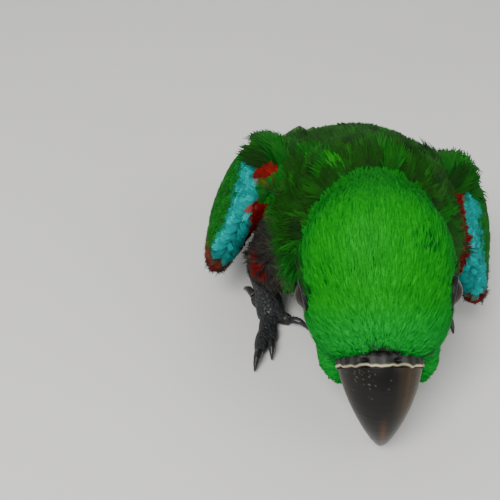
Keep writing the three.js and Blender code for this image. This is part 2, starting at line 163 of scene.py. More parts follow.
def mesh_object(name, points, faces, smooth=True):
    """A mesh object from points in millimetres."""
    mesh = bpy.data.meshes.new(name)
    mesh.from_pydata((np.asarray(points) * MM).tolist(), [], [tuple(map(int, f)) for f in faces])
    if smooth:
        mesh.shade_smooth()
    made = bpy.data.objects.new(name, mesh)
    bpy.context.collection.objects.link(made)
    return made


def lofted(rings):
    """Points and faces of a closed skin over rings of equal counts."""
    rings = np.asarray(rings)
    rows, count = rings.shape[:2]
    k = np.arange(count)
    faces = []
    for r in range(rows - 1):
        a, b = r * count + k, r * count + (k + 1) % count
        faces += np.stack([a, b, b + count, a + count], 1).tolist()
    faces += [list(range(count))[::-1], [(rows - 1) * count + i for i in range(count)]]
    return rings.reshape(-1, 3), faces


def outwards(thing):
    """Turns all faces of a closed mesh outwards."""
    shape = bmesh.new()
    shape.from_mesh(thing.data)
    bmesh.ops.recalc_face_normals(shape, faces=shape.faces)
    shape.to_mesh(thing.data)
    shape.free()
    return thing


class Wing:
    """A wing as a sheet from its wrist: b back to the tip, u up to the shoulder, n outwards."""

    def __init__(self, side, shoulder, wrist, tip, bow):
        self.side = side
        self.wrist = np.array(wrist) - MIDDLE
        span, rise = np.subtract(tip, wrist), np.subtract(shoulder, wrist)
        self.length = np.linalg.norm(span)
        self.back = span / self.length
        self.shoulder_back = rise @ self.back
        up = rise - self.back * self.shoulder_back
        self.height = np.linalg.norm(up)
        self.up = up / self.height
        self.out = np.cross(self.back, self.up) * side
        self.bow = eased([[n] for n in bow], 40)[:, 0]

    def bowed(self, b):
        return np.interp(np.clip(b / self.length, 0, 1) * 40, np.arange(41), self.bow)

    def at(self, b, u, n):
        b, u, n = np.broadcast_arrays(*(np.asarray(v, float) for v in (b, u, n)))
        lift = (n + self.bowed(b))[..., None]
        return self.wrist + b[..., None] * self.back + u[..., None] * self.up + lift * self.out

    def of(self, points):
        """Sheet coordinates b, u and n of points."""
        away = points - self.wrist
        b = away @ self.back
        return b, away @ self.up, away @ self.out - self.bowed(b)


WINGS = {
    "left": Wing(1, (34, 0, 55), (46, -7, 23), (29, 126, 13), [0, 11, 14, 11, 6, 0]),
    "right": Wing(-1, (-31, 8, 62), (-48, 8, 26), (-24, 130, 14), [0, 5, 6, 4, 2, 0]),
}
ARM_THICK = 15
ARM_ROWS = [
    # share of the height, front, back, half thickness, middle
    [-0.16, 0, 8, 0.12, 0],
    [-0.08, -4, 15, 0.32, 0],
    [0.1, -7, 32, 0.46, 0],
    [0.35, -7, 46, 0.5, 0],
    [0.6, -7, 50, 0.5, -0.5],
    [0.82, -6, 44, 0.46, -2],
    [1, -4, 32, 0.38, -4],
    [1.1, 2, 22, 0.2, -5],
]
HAND_ROWS = [
    # back from the wrist, up, half height, half thickness
    [-5, -1, 2, 2],
    [2, -1, 6, 5],
    [16, -2, 6.5, 4],
    [32, -3, 5, 3],
    [42, -4, 2, 1.2],
]


def arm_form(wing):
    """The fleshy fore-part of a wing, from the wrist's tip up to the shoulder."""
    turn = np.linspace(0, 2 * np.pi, 28, endpoint=False)
    rings = []
    for share, front, back, thick, middle in eased(ARM_ROWS, 24):
        b = (front + back) / 2 + np.cos(turn) * (back - front) / 2
        lead = max(share, 0) * wing.shoulder_back
        n = middle + np.sin(turn) * thick * ARM_THICK
        rings.append(wing.at(b + lead, share * wing.height, n))
    return lofted(rings)


def hand_form(wing):
    """The thin fleshy edge below the wing's primaries."""
    turn = np.linspace(0, 2 * np.pi, 20, endpoint=False)
    rings = []
    for b, u, high, thick in eased(HAND_ROWS, 14):
        rings.append(wing.at(b, u + np.cos(turn) * high, np.sin(turn) * thick))
    return lofted(rings)


def merged_copy(node):
    """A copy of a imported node's mesh with its loose triangles joined."""
    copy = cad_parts[node].copy()
    copy.data = copy.data.copy()
    copy.parent = None
    bpy.context.collection.objects.link(copy)
    shape = bmesh.new()
    shape.from_mesh(copy.data)
    bmesh.ops.remove_doubles(shape, verts=shape.verts, dist=1e-6)
    shape.to_mesh(copy.data)
    shape.free()
    return copy


def joined(name, things):
    """One object from several."""
    bpy.ops.object.select_all(action="DESELECT")
    for thing in things:
        thing.select_set(True)
    bpy.context.view_layer.objects.active = things[0]
    bpy.ops.object.join()
    things[0].name = name
    things[0].data.name = name
    return things[0]


def settled(thing, *modifiers):
    """Adds each (kind, settings) as a modifier and keeps the evaluated mesh in place of them."""
    for kind, settings in modifiers:
        added = thing.modifiers.new(kind.lower(), kind)
        for key, value in settings.items():
            setattr(added, key, value)
    graph = bpy.context.evaluated_depsgraph_get()
    done = bpy.data.meshes.new_from_object(thing.evaluated_get(graph))
    old = thing.data
    thing.modifiers.clear()
    thing.data = done
    done.name = thing.name
    bpy.data.meshes.remove(old)
    return thing


RUMP_Y = 84
RUMP_SIDES = 24
TAIL_X = 2.2
TAIL_TURN = 2  # degrees
RUMP_ROWS = [
    # back, up, half width, half thickness
    [RUMP_Y - 14, 14.5, 13, 12.5],
    [RUMP_Y - 4, 13, 12.5, 11.5],
    [RUMP_Y + 8, 9.5, 11, 9.5],
    [RUMP_Y + 18, 6.5, 9.5, 6.5],
    [RUMP_Y + 27, 4.6, 8, 3.6],
    [RUMP_Y + 33, 4, 5.5, 1.6],
]


def in_tail(points):
    """Points of the tail's own frame in the model's frame."""
    return np.asarray(points) @ turned("Z", TAIL_TURN).T + np.array([TAIL_X, 0, 0]) - MIDDLE


def rump_form():
    """The rump, which narrows over the roots of the tail."""
    turn = np.linspace(0, 2 * np.pi, RUMP_SIDES, endpoint=False)
    rings = []
    for y, z, wide, thick in eased(RUMP_ROWS, 16):
        up = np.maximum(z + np.sin(turn) * thick, COAT_DEPTH)
        rings.append(in_tail(np.stack([np.cos(turn) * wide, np.full(RUMP_SIDES, y), up], 1)))
    return lofted(rings)


FLESH = ["torso", "neck", "head", "thigh_left", "thigh_right"]
forms = [merged_copy(node) for node in FLESH] + [outwards(mesh_object("rump", *rump_form()))]
for side, wing in WINGS.items():
    forms.append(outwards(mesh_object("arm_" + side, *arm_form(wing))))
    forms.append(outwards(mesh_object("hand_" + side, *hand_form(wing))))
skin = joined("skin", forms)
settled(
    skin,
    ("REMESH", {"mode": "VOXEL", "voxel_size": SKIN_VOXEL * MM}),
    ("SMOOTH", {"factor": 0.5, "iterations": 6}),
    ("DISPLACE", {"strength": -COAT_DEPTH * MM, "mid_level": 0.0}),
    ("SMOOTH", {"factor": 0.5, "iterations": 4}),
)
skin.data.shade_smooth()

bpy.ops.object.select_all(action="DESELECT")
skin.select_set(True)
bpy.context.view_layer.objects.active = skin
skin.data.uv_layers.new(name="OFBake")
bpy.ops.object.mode_set(mode="EDIT")
bpy.ops.mesh.select_all(action="SELECT")
bpy.ops.uv.smart_project(angle_limit=math.radians(66), island_margin=0.004)
bpy.ops.object.mode_set(mode="OBJECT")


def smooth_step(low, high, x):
    """0 at low and 1 at high, eased between them."""
    t = np.clip((x - low) / (high - low), 0, 1)
    return t * t * (3 - 2 * t)


HEAD_AT = np.array([3, -33, 54.5]) - MIDDLE
HEAD_TURNED = turned("X", 42) @ turned("Y", -8)
HEAD_REACH = (32, 40, 30)
FACE_Y = -28.5  # where the bill's bare skin starts, in the head's own frame


def from_head(points):
    """Points of the head's own frame, -Y to the bill and +Z to the crown, in the model's frame."""
    return np.asarray(points, float) @ HEAD_TURNED.T + HEAD_AT


def to_head(points):
    """Points of the model's frame in the head's own."""
    return (points - HEAD_AT) @ HEAD_TURNED


head_form = merged_copy("head")
HEAD_TREE = BVHTree.FromPolygons(
    [v.co / MM for v in head_form.data.vertices],
    [list(p.vertices) for p in head_form.data.polygons],
)
bpy.data.objects.remove(head_form)


def on_head(points):
    """1 on the head and 0 on the body, softly changing at the nape."""
    share = np.zeros(len(points))
    for i in np.flatnonzero(np.linalg.norm(to_head(points) / HEAD_REACH, axis=1) < 1):
        at = Vector(points[i])
        found, normal = HEAD_TREE.find_nearest(at)[:2]
        share[i] = smooth_step(0.4, -0.5, (at - found).dot(normal))
    return share


def on_wing(points, wing):
    """1 on a wing's fore-part, and each point's place: behind the front, share of the height, out."""
    b, u, n = wing.of(points)
    share = u / wing.height
    behind = b - np.clip(share, 0, 1) * wing.shoulder_back
    inside = (np.abs(n + 1) < 10.5) & (share > -0.4) & (share < 1.12)
    inside &= (behind > -12) & (behind < 60) & (points[:, 0] * wing.side > 15)
    return inside.astype(float), behind, share, n


GREENS = {
    "crown": "#008316",
    "forehead_painted_light": "#008a28",
    "cheek": "#006a1c",
    # dark green of the back, partly its own colour and partly painted shade
    "mantle_with_painted_shade": "#0f3d04",
    "rump": "#146a0c",
    "breast": "#045a0a",
    "wing": "#0a560c",
}
TURQUOISE = "#00827e"
RED = "#820505"
DOWN = "#2b2824"


def painted(colours, colour, share):
    """Lays a colour over others by each point's share."""
    return colours + (np.array(linear(colour)) - colours) * np.asarray(share)[:, None]


def near(points, centre, radius):
    """1 about a centre and 0 outside an ellipsoid, softly changing between."""
    away = np.linalg.norm((points - centre) / radius, axis=1)
    return 1 - smooth_step(0.7, 1.15, away)


def bare_notch(face):
    """How far a point of the head is behind the bare skin, which runs up a little in the middle."""
    notch = 2.6 * np.exp(-((face[:, 0] / 4.5) ** 2)) * (face[:, 2] > 3)
    ragged = 0.4 * np.sin(2.3 * face[:, 0]) + 0.3 * np.sin(5.1 * face[:, 0] + 1)
    return face[:, 1] - (FACE_Y - 0.3 + notch + ragged) + 20 * (face[:, 2] < -4)


def band_edge(wing, share):
    """Where a wing's turquoise band meets its red lining, as a height over the wing's sheet."""
    if wing.side < 0:
        return -4.2 + 2.8 * smooth_step(0.2, 0.8, share)
    return -3.6 + 3 * smooth_step(0.45, 0.85, share)


def plumage(points, with_head=True):
    """The colour of the plumage at each point, or that of the body's alone."""
    x, y, z = points.T
    # The green of the body, darker over the back, partly its own green and partly painted shade, and the
    # dark down and red lines of the flanks.
    colours = painted(np.zeros_like(points), GREENS["breast"], np.ones(len(points)))
    colours = painted(colours, GREENS["mantle_with_painted_shade"], smooth_step(38, 58, z + 0.35 * np.maximum(y, 0)))
    colours = painted(colours, GREENS["rump"], smooth_step(20, 60, y) * smooth_step(8, 20, z))
    for side in (-1, 1):
        colours = painted(colours, DOWN, near(points, (side * 31, -49, 40), (12, 22, 15)))
        colours = painted(colours, "#4a0806", near(points, (side * 33, -50, 34), (1.8, 3.5, 7)))
    # The bright head, with a small ruffle at its left and bare skin at the bill.
    head = on_head(points) * with_head
    face = to_head(points)
    colours = painted(colours, GREENS["crown"], head)
    # painted light: the front of the head is lightened as light falls there, in a slightly bluer green
    colours = painted(colours, GREENS["forehead_painted_light"], head * smooth_step(-14, -26, face[:, 1]))
    colours = painted(colours, GREENS["cheek"], head * smooth_step(-2, -14, face[:, 2]))
    # darker towards the nape, into the back's green with its painted shade
    colours = painted(colours, GREENS["mantle_with_painted_shade"], head * smooth_step(6, 26, face[:, 1]) * 0.55)
    ruffle = near(points, (13.5, -92, 69.5), (6, 5, 5)) * (np.sin(2.1 * y + 1.1 * x) > 0.3)
    colours = painted(colours, "#0b2e10", head * ruffle * 0.7)
    colours = painted(colours, "#2f302c", head * smooth_step(0.5, -0.5, bare_notch(face)))
    # Each wing is green outside, then turquoise along its front, then red, and dark inside.
    for wing in WINGS.values():
        arm, behind, share, n = on_wing(points, wing)
        top = (0.86, 0.78) if wing.side < 0 else (1.08, 1.0)
        low, high = band_edge(wing, share), 1.9 if wing.side < 0 else 3.6
        upper = smooth_step(0.4, 0.75, share) * (wing.side < 0)
        high = high + 1.6 * upper
        front = 1 - smooth_step(7 + 4 * upper, 15 + 4 * upper, behind)
        colours = painted(colours, GREENS["wing"], arm)
        inner = arm * smooth_step(low + 0.6, low - 0.6, n) * smooth_step(*top, share)
        colours = painted(colours, "#2e1a17", inner)
        colours = painted(colours, RED, inner * (1 - smooth_step(3, 9, behind)))
        band = arm * front * smooth_step(0.02, 0.16, share) * smooth_step(1.02, 0.86, share)
        band = band * smooth_step(low - 0.6, low + 0.6, n) * smooth_step(high + 0.8, high - 0.8, n)
        colours = painted(colours, TURQUOISE, band)
        if wing.side < 0:
            colours = painted(colours, "#680806", near(points, (-31.5, -37, 61.5), (4, 5, 4.5)))
        tip = arm * front * smooth_step(0.15, 0.04, share) * smooth_step(5, 3, n)
        colours = painted(colours, "#5c0a08", tip)
    return colours


def coloured(thing, colours):
    """Gives a mesh its colours, one for each point."""
    attribute = thing.data.color_attributes.new("plumage", "FLOAT_COLOR", "POINT")
    rgba = np.ones((len(colours), 4))
    rgba[:, :3] = colours
    attribute.data.foreach_set("color", rgba.ravel())


def positions(thing):
    """The points of a mesh, in millimetres."""
    flat = np.empty(len(thing.data.vertices) * 3)
    thing.data.vertices.foreach_get("co", flat)
    return flat.reshape(-1, 3) / MM


# painted shade: the skin between the feathers is darkened, as shade falls there
SKIN_PAINTED_SHADE = 0.45  # between the feathers it is darker than they are
coloured(skin, plumage(positions(skin)) * SKIN_PAINTED_SHADE)


def soft_feather(material):
    """Loose keratin barbs: matt, in the plumage's own colours, broken by flecks 1.1 mm wide. A real
    feather's barbs are a tenth of that, too fine to show.
    """
    dye = add_node(material, "VertexColor", {"layer_name": "plumage"})
    place = add_node(material, "TexCoord")
    fleck = add_node(material, "TexNoise", Vector=place.outputs["Object"], Scale=900.0, Detail=3.0)
    value = add_node(material, "MapRange", Value=fleck.outputs["Fac"], _3=0.8, _4=1.2)
    tint = add_node(material, "HueSaturation", Color=dye.outputs["Color"], Value=value.outputs["Result"])
    shader = add_node(material, "BsdfPrincipled", Base_Color=tint.outputs["Color"], Roughness=0.65)
    shader.inputs["Specular IOR Level"].default_value = 0.08
    return shader


FEATHER = plastered("feather_barbs_soft", soft_feather)
skin.data.materials.clear()
skin.data.materials.append(FEATHER)
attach(skin, "root")
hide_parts(*FLESH)


# --- Head feathers --------------------------------------------------------------------------------
# Very fine, soft feathers like short fur, which start in a point above the bill and sweep back over the
# crown and down the cheeks. Each is a tuft of thin tapering barbs that lies along the skin.
skin.data.calc_loop_triangles()
SKIN_AT = positions(skin)
SKIN_FACES = np.empty(len(skin.data.loop_triangles) * 3, int)
skin.data.loop_triangles.foreach_get("vertices", SKIN_FACES)
SKIN_FACES = SKIN_FACES.reshape(-1, 3)
SKIN_LOOPS = np.empty(SKIN_FACES.size, int)
skin.data.loop_triangles.foreach_get("loops", SKIN_LOOPS)
SKIN_UV = np.empty(len(skin.data.loops) * 2)
skin.data.uv_layers["OFBake"].data.foreach_get("uv", SKIN_UV)
SKIN_UV = SKIN_UV.reshape(-1, 2)[SKIN_LOOPS.reshape(-1, 3)]
corners = SKIN_AT[SKIN_FACES]
face_cross = np.cross(corners[:, 1] - corners[:, 0], corners[:, 2] - corners[:, 0])
SKIN_AREA = 0.5 * np.linalg.norm(face_cross, axis=1)
SKIN_MIDDLE = corners.mean(axis=1)
SKIN_NORMAL = np.zeros_like(SKIN_AT)
for corner in range(3):
    np.add.at(SKIN_NORMAL, SKIN_FACES[:, corner], face_cross)
SKIN_NORMAL = unit(SKIN_NORMAL)
FACE_NORMAL = unit(SKIN_NORMAL[SKIN_FACES].mean(axis=1))
SURFACE = BVHTree.FromPolygons(SKIN_AT.tolist(), SKIN_FACES.tolist())
FACE_POINT = from_head((0, FACE_Y - 5, 6))


def on_skin(points):
    """The nearest points of the skin, with its normals there."""
    found = [SURFACE.find_nearest(p) for p in points.tolist()]
    at = np.array([f[0] for f in found])
    return at, FACE_NORMAL[[f[2] for f in found]]


def lie(points, normals):
    """The way that feathers point along the skin: from the face back to the tail, and down the wings."""
    head = on_head(points)[:, None]
    x, y, z = points.T
    sweep = unit(points - FACE_POINT)
    body = np.stack([x * 0.008, np.ones(len(x)), np.full(len(x), -0.22)], 1)
    chest = smooth_step(-0.2, -0.7, normals[:, 1])[:, None]
    body = body * (1 - chest) + np.array([0, 0.4, -1.0]) * chest
    way = sweep * head + unit(body) * (1 - head)
    for wing in WINGS.values():
        arm = on_wing(points, wing)[0][:, None]
        way = way * (1 - arm) + (wing.back - 0.6 * wing.up + 0.15 * wing.out) * arm
    way = way - normals * np.sum(way * normals, axis=1, keepdims=True)
    return unit(way)


def scattered(rng, count, share):
    """Roots at random on the skin: points, normals and places on its unwrap."""
    weight = SKIN_AREA * share(SKIN_MIDDLE, FACE_NORMAL)
    faces = rng.choice(len(weight), count, p=weight / weight.sum())
    mix = rng.dirichlet((1, 1, 1), count)
    points = np.einsum("nk,nkc->nc", mix, SKIN_AT[SKIN_FACES[faces]])
    normals = unit(np.einsum("nk,nkc->nc", mix, SKIN_NORMAL[SKIN_FACES[faces]]))
    return points, normals, np.einsum("nk,nkc->nc", mix, SKIN_UV[faces])


ROWS = 4  # of points along each barb
PATCH = 0.003  # of a tuft on the unwrap


def tuft(rng, barbs, fan, width, wave=0.0, tip=0.12, rounded=0.3):
    """A pattern for a tuft: barbs from one root as points [across, along, up], with their faces."""
    points, faces = [], []
    for i in range(barbs):
        out = (i + 0.5) / barbs * 2 - 1 if barbs > 1 else 0
        reach = 1 - rounded * out * out - 0.15 * rng.random()
        drift = rng.normal(0, wave, 2)
        for r in range(ROWS):
            t = r / (ROWS - 1)
            middle = 0.5 * fan * out * (0.35 + 0.65 * t) + drift[0] * t * t
            half = 0.5 * width * (0.75, 1, 0.8, tip)[r]
            up = 0.12 * width * rng.normal() + drift[1] * 0.5 * t * t
            points += [[middle - half, t * reach, up], [middle + half, t * reach, up]]
        at = len(points) - 2 * ROWS
        faces += [[at + 2 * r, at + 2 * r + 1, at + 2 * r + 3, at + 2 * r + 2] for r in range(ROWS - 1)]
    return np.array(points), np.array(faces)


def coat(
    name,
    seed,
    count,
    share,
    patterns,
    length,
    lift,
    shades=0.16,
    loose=0.12,
    fade=(0.5, 1.1),
    dye=None,
    headed=False,
):
    """Feathers over a part of the skin, as one mesh of `count` tufts that follow its surface.

    Share gives how thickly they stand at each place, lift their height off the skin from root to tip,
    shades and loose how far their tones and directions vary, fade the shade of their roots and tips.
    """
    rng = np.random.default_rng(seed)
    roots, normals, root_uv = scattered(rng, count, share)
    reach = (length(roots) if callable(length) else length) * rng.uniform(0.75, 1.2, count)
    stray = rng.normal(0, loose, (count, 3))
    line, up, way = [roots], [normals], [unit(lie(roots, normals) + stray)]
    for _ in range(ROWS - 1):
        step = line[-1] + way[-1] * (reach / (ROWS - 1))[:, None]
        at, normal = on_skin(step)
        line.append(at)
        up.append(normal)
        way.append(unit(lie(at, normal) + stray))
    line, up, way = (np.stack(v, 1) for v in (line, up, way))
    side = unit(np.cross(way, up))
    height = rng.uniform(0.6, 1.3, count)
    kinds = rng.integers(0, len(patterns), count)
    dyes = plumage(roots + rng.normal(0, 0.4, roots.shape), headed) if dye is None else dye(roots, rng)
    dyes = dyes * np.exp(rng.normal(0, shades, (count, 1)))
    points, faces, colours, uv = [], [], [], []
    total = 0
    for kind, (pattern, cells) in enumerate(patterns):
        mine = np.flatnonzero(kinds == kind)
        across, along, rise = pattern.T
        row = np.clip(along * (ROWS - 1), 0, ROWS - 1)
        low = np.minimum(row.astype(int), ROWS - 2)
        part = (row - low)[None, :, None]

        def eased_to(values):
            return values[mine][:, low] * (1 - part) + values[mine][:, low + 1] * part

        tall = np.interp(along, [0, 0.3, 0.7, 1], lift)[None, :] * height[mine, None] + rise[None, :]
        place = eased_to(line) + eased_to(side) * across[None, :, None] + eased_to(up) * tall[..., None]
        points.append(place.reshape(-1, 3))
        shade = np.interp(along, [0, 0.75, 1], [fade[0], 1, fade[1]])[None, :, None]
        barb = np.exp(rng.normal(0, 0.1, (len(mine), len(across) // (2 * ROWS), 1, 1)))
        barb = np.broadcast_to(barb, (len(mine), len(across) // (2 * ROWS), 2 * ROWS, 1))
        barb = barb.reshape(len(mine), len(across), 1)
        colours.append((dyes[mine][:, None] * shade * barb).reshape(-1, 3))
        start = total + np.arange(len(mine))[:, None, None] * len(pattern)
        faces.append((cells[None] + start).reshape(-1, 4))
        patch = np.stack([across / np.abs(across).max(), along * 2 - 1], 1) * PATCH / 2
        uv.append((root_uv[mine][:, None] + patch[None]).reshape(-1, 2))
        total += len(mine) * len(pattern)
    points, faces = np.concatenate(points) * MM, np.concatenate(faces)
    mesh = bpy.data.meshes.new(name)
    mesh.vertices.add(len(points))
    mesh.vertices.foreach_set("co", points.ravel())
    mesh.loops.add(faces.size)
    mesh.loops.foreach_set("vertex_index", faces.ravel())
    mesh.polygons.add(len(faces))
    mesh.polygons.foreach_set("loop_start", np.arange(0, faces.size, 4))
    mesh.polygons.foreach_set("loop_total", np.full(len(faces), 4))
    mesh.update(calc_edges=True)
    mesh.shade_smooth()
    layer = mesh.uv_layers.new(name="OFBake")
    layer.data.foreach_set("uv", np.concatenate(uv)[faces.ravel()].ravel())
    made = bpy.data.objects.new(name, mesh)
    bpy.context.collection.objects.link(made)
    coloured(made, np.concatenate(colours))
    made.data.materials.append(FEATHER)
    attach(made, "root")
    return made


def head_share(points, normals):
    """The head down to the edge of the bill's bare skin and of the eyes, and densest at the face."""
    local = to_head(points)
    dense = 1 + 0.8 * smooth_step(-8, -26, local[:, 1])
    for side in (-1, 1):
        dense = dense * (np.linalg.norm(local - (side * 23.5, -9.8, 2.3), axis=1) > 4.9)
    return (on_head(points) > 0.8) * (bare_notch(local) > 0) * dense


def head_length(points):
    """Short at the bill and at the nape, and longest over the crown."""
    forward = -to_head(points)[:, 1]
    return 5.8 * (1 - 0.5 * smooth_step(16, 28, forward)) * (1 - 0.45 * smooth_step(-10, -24, forward))


rng = np.random.default_rng(11)
fine_tufts = [tuft(rng, 3, 0.9, 0.3, wave=0.3) for _ in range(16)]
for name, seed, lift in [("a", 21, (0.1, 0.7, 1.0, 0.8)), ("b", 22, (0.1, 0.8, 1.1, 0.9))]:
    coat(
        "head_feathers_" + name,
        seed,
        10800,
        head_share,
        fine_tufts,
        head_length,
        lift,
        shades=0.09,
        fade=(0.6, 1.05),
        headed=True,
    )


# --- Body feathers --------------------------------------------------------------------------------
# Contour feathers of the neck, back, breast and rump: soft rounded vanes with loose barbs at the tips,
# longer down the back, overlapping like tiles. On the flanks the grey down shows between them.
def off_wings(points):
    """1 off the fore-parts of the wings."""
    return 1 - np.maximum(*(on_wing(points, wing)[0] for wing in WINGS.values()))


LEGS_X = 2.2  # the middle between the legs


def on_thigh(points):
    """1 on the legs' feathered parts, low at the body's sides."""
    x, y, z = points.T
    out = np.abs(x - LEGS_X)
    return smooth_step(27, 29, out) * smooth_step(30, 26, z) * (np.abs(y + 30) < 26)


def body_share(points, normals):
    """The body without head, wings and legs, down to what rests on the floor."""
    bare = (1 - on_head(points)) * off_wings(points) * (1 - on_thigh(points))
    return bare * (points[:, 2] > 1.5) * (normals[:, 2] > -0.95)


def mantle_share(points, normals):
    """The body's upper side, down to the rump."""
    return body_share(points, normals) * smooth_step(0.2, 0.5, normals[:, 2]) * (points[:, 1] < 34)


def under_share(points, normals):
    """The body's sides and breast, down to the rump."""
    return body_share(points, normals) * smooth_step(0.5, 0.2, normals[:, 2]) * (points[:, 1] < 34)


def rump_share(points, normals):
    """The rump, on every side."""
    return body_share(points, normals) * (points[:, 1] >= 30)


def back_dye(roots, rng):
    """The back's greens, with lighter sweeps of feathers here and there."""
    sweep = smooth_step(0.1, 0.9, np.sin(0.42 * roots[:, 0] + 0.12 * roots[:, 1]))
    light = sweep * rng.uniform(0.2, 0.9, len(roots)) * smooth_step(12, -12, roots[:, 1])
    return painted(plumage(roots, False), "#0f5a0a", light * smooth_step(48, 56, roots[:, 2]))


vanes = [tuft(rng, 7, 3.6, 0.85, wave=0.35, tip=0.15, rounded=0.35) for _ in range(12)]
broad = [tuft(rng, 9, 5.2, 0.9, wave=0.3, tip=0.12, rounded=0.4) for _ in range(12)]
coat("back_feathers_a", 31, 3000, mantle_share, broad, 12.5, (0.1, 0.9, 1.4, 1.3), shades=0.2)
coat(
    "back_feathers_b",
    32,
    3000,
    mantle_share,
    broad,
    13.5,
    (0.1, 1.1, 2.0, 2.6),
    shades=0.3,
    dye=back_dye,
)
coat("breast_feathers", 33, 4300, under_share, vanes, 8.0, (0.1, 0.8, 1.1, 1.0), shades=0.2)
coat("rump_feathers", 34, 1900, rump_share, vanes, 9.0, (0.1, 0.7, 0.9, 0.7), shades=0.16)


# --- Scapulars and loose feathers ----------------------------------------------------------------------
# Long feathers that start over each shoulder and lie back over the wing, ruffled here so that their tips
# stand out, with looser ones at the sides of the neck. On the flanks between the body and the wings lies
# dark down, with a short red line.
def scapular_share(place):
    """The top of a shoulder, about a place."""
    return lambda points, normals: near(points, place, (8, 18, 12)) * (normals[:, 2] > 0.1)


def scapular_dye(roots, rng):
    """Dark to middling green, with no mark of the wing's."""
    # the back's dark green, partly painted shade
    green = painted(np.zeros_like(roots), GREENS["mantle_with_painted_shade"], np.ones(len(roots)))
    return painted(green, "#0c5f0a", rng.uniform(0, 0.9, len(roots)))


long_vanes = [tuft(rng, 13, 8.0, 0.95, wave=0.4, tip=0.1, rounded=0.45) for _ in range(8)]
for name, seed, place in [("right", 35, (-25, -19, 61)), ("left", 36, (33, -26, 59))]:
    coat(
        "scapulars_" + name,
        seed,
        120,
        scapular_share(place),
        long_vanes,
        19.0,
        (0.6, 2.3, 3.8, 4.6),
        shades=0.3,
        loose=0.2,
        dye=scapular_dye,
    )


def neck_sides(points, normals):
    """The narrow green strips at the sides of the neck, below the head."""
    rows = [near(points, (side * 21 - 1, -58, 48), (5, 8, 17)) for side in (-1, 1)]
    return np.maximum(*rows) * (1 - on_head(points))


loose_vanes = [tuft(rng, 7, 3.4, 0.5, wave=0.9, tip=0.08, rounded=0.5) for _ in range(8)]
coat(
    "neck_feathers",
    37,
    620,
    neck_sides,
    loose_vanes,
    12.0,
    (0.3, 1.5, 2.4, 2.6),
    shades=0.4,
    loose=0.2,
)


def down_dye(roots, rng):
    """Dark grey down."""
    grey = rng.uniform(0.6, 1.3, (len(roots), 1))
    return np.array(linear(DOWN)) * grey * np.ones((1, 3))


def flanks(points, normals):
    """The hollows between the body and the wings."""
    spots = [near(points, (side * 33, -36, 40), (9, 15, 14)) for side in (-1, 1)]
    return np.maximum(*spots) * off_wings(points) * (1 - on_head(points))


wisps = [tuft(rng, 7, 4.0, 0.4, wave=1.3, tip=0.2, rounded=0.4) for _ in range(8)]
coat(
    "flank_down",
    38,
    900,
    flanks,
    wisps,
    6.5,
    (0.4, 1.8, 3.0, 3.8),
    shades=0.3,
    loose=0.4,
    dye=down_dye,
)


def red_flank(points, normals):
    """A short red line down each flank."""
    return np.maximum(*(near(points, (side * 33, -50, 34), (1.5, 3, 6)) for side in (-1, 1)))


def red_dye(roots, rng):
    """Dark red of uneven strength."""
    return painted(np.zeros_like(roots), "#5e0504", rng.uniform(0.6, 1.1, len(roots)))


coat("flank_red", 39, 40, red_flank, loose_vanes, 5, (0.5, 2, 3, 3.2), loose=0.15, dye=red_dye)


# --- Wing coverts -----------------------------------------------------------------------------------
# Small scale-like feathers over the fore-part of each wing: green outside, turquoise along its front, and
# red in the lining at its inner edge, with a few grey wisps at the wrist.
def wing_share(wing):
    """All of a wing's fore-part."""
    return lambda points, normals: on_wing(points, wing)[0]


scales = [tuft(rng, 5, 2.6, 0.72, wave=0.15, tip=0.2, rounded=0.35) for _ in range(12)]
for name, seed in [("left", 41), ("right", 42)]:
    share = wing_share(WINGS[name])
    coat("coverts_" + name, seed, 6000, share, scales, 5, (0.1, 0.9, 1.3, 1.2), shades=0.26)


def lining_share(points, normals):
    """The inner edge of each wing's front, where the red lining shows."""
    shares = []
    for wing in WINGS.values():
        arm, behind, share, n = on_wing(points, wing)
        low, top = band_edge(wing, share) - 0.3, 0.86 if wing.side < 0 else 1.05
        shares.append(arm * (behind < 7) * (n < low) * (n > low - 4) * (share > 0) * (share < top))
    return np.maximum(*shares)


red_scales = [tuft(rng, 5, 2.4, 0.6, wave=0.3, tip=0.2, rounded=0.35) for _ in range(8)]
coat(
    "lining_feathers",
    44,
    800,
    lining_share,
    red_scales,
    4.5,
    (0.3, 1.4, 2.0, 2.1),
    shades=0.2,
    dye=red_dye,
)


def wrist_share(points, normals):
    """The lower tip of each wing's front."""
    tips = (WINGS[side].at(-2, -3, 1)[None] for side in WINGS)
    return np.maximum(*(near(points, tip[0], (5, 5, 3)) for tip in tips))


coat("wrist_wisps", 43, 26, wrist_share, wisps, 5.0, (0.3, 1.4, 2.2, 2.6), loose=0.6, dye=down_dye)


# --- Leg down ---------------------------------------------------------------------------------------
# Short dark down over the thighs, loose and a little curled, as a fledgling has.
down_tufts = [tuft(rng, 5, 2.4, 0.32, wave=0.9, tip=0.3, rounded=0.2) for _ in range(12)]
coat(
    "leg_down",
    51,
    3000,
    lambda points, normals: on_thigh(points),
    down_tufts,
    4.5,
    (0.1, 0.9, 1.4, 1.6),
    loose=0.3,
    dye=down_dye,
)


# --- Wing feathers ----------------------------------------------------------------------------------
# The flight feathers of each folded wing with their coverts: stiff closed vanes on a dark shaft, laid in
# tiers. The outer webs are blue or green, and the inner webs and undersides are nearly black.
VANE_OUTLINE = [
    # share of the length, half width of the leading web, half width of the trailing web
    [0, 0.12, 0.14],
    [0.08, 0.4, 0.5],
    [0.25, 0.72, 0.95],
    [0.55, 0.8, 1.1],
    [0.8, 0.72, 1.0],
    [0.93, 0.45, 0.72],
    [1, 0.06, 0.1],
]
VANE_ROWS = 18
VANE_THICK = 0.3
VANE_COLUMNS = np.array([-1, -0.66, -0.33, -0.05, 0.05, 0.33, 0.66, 1])


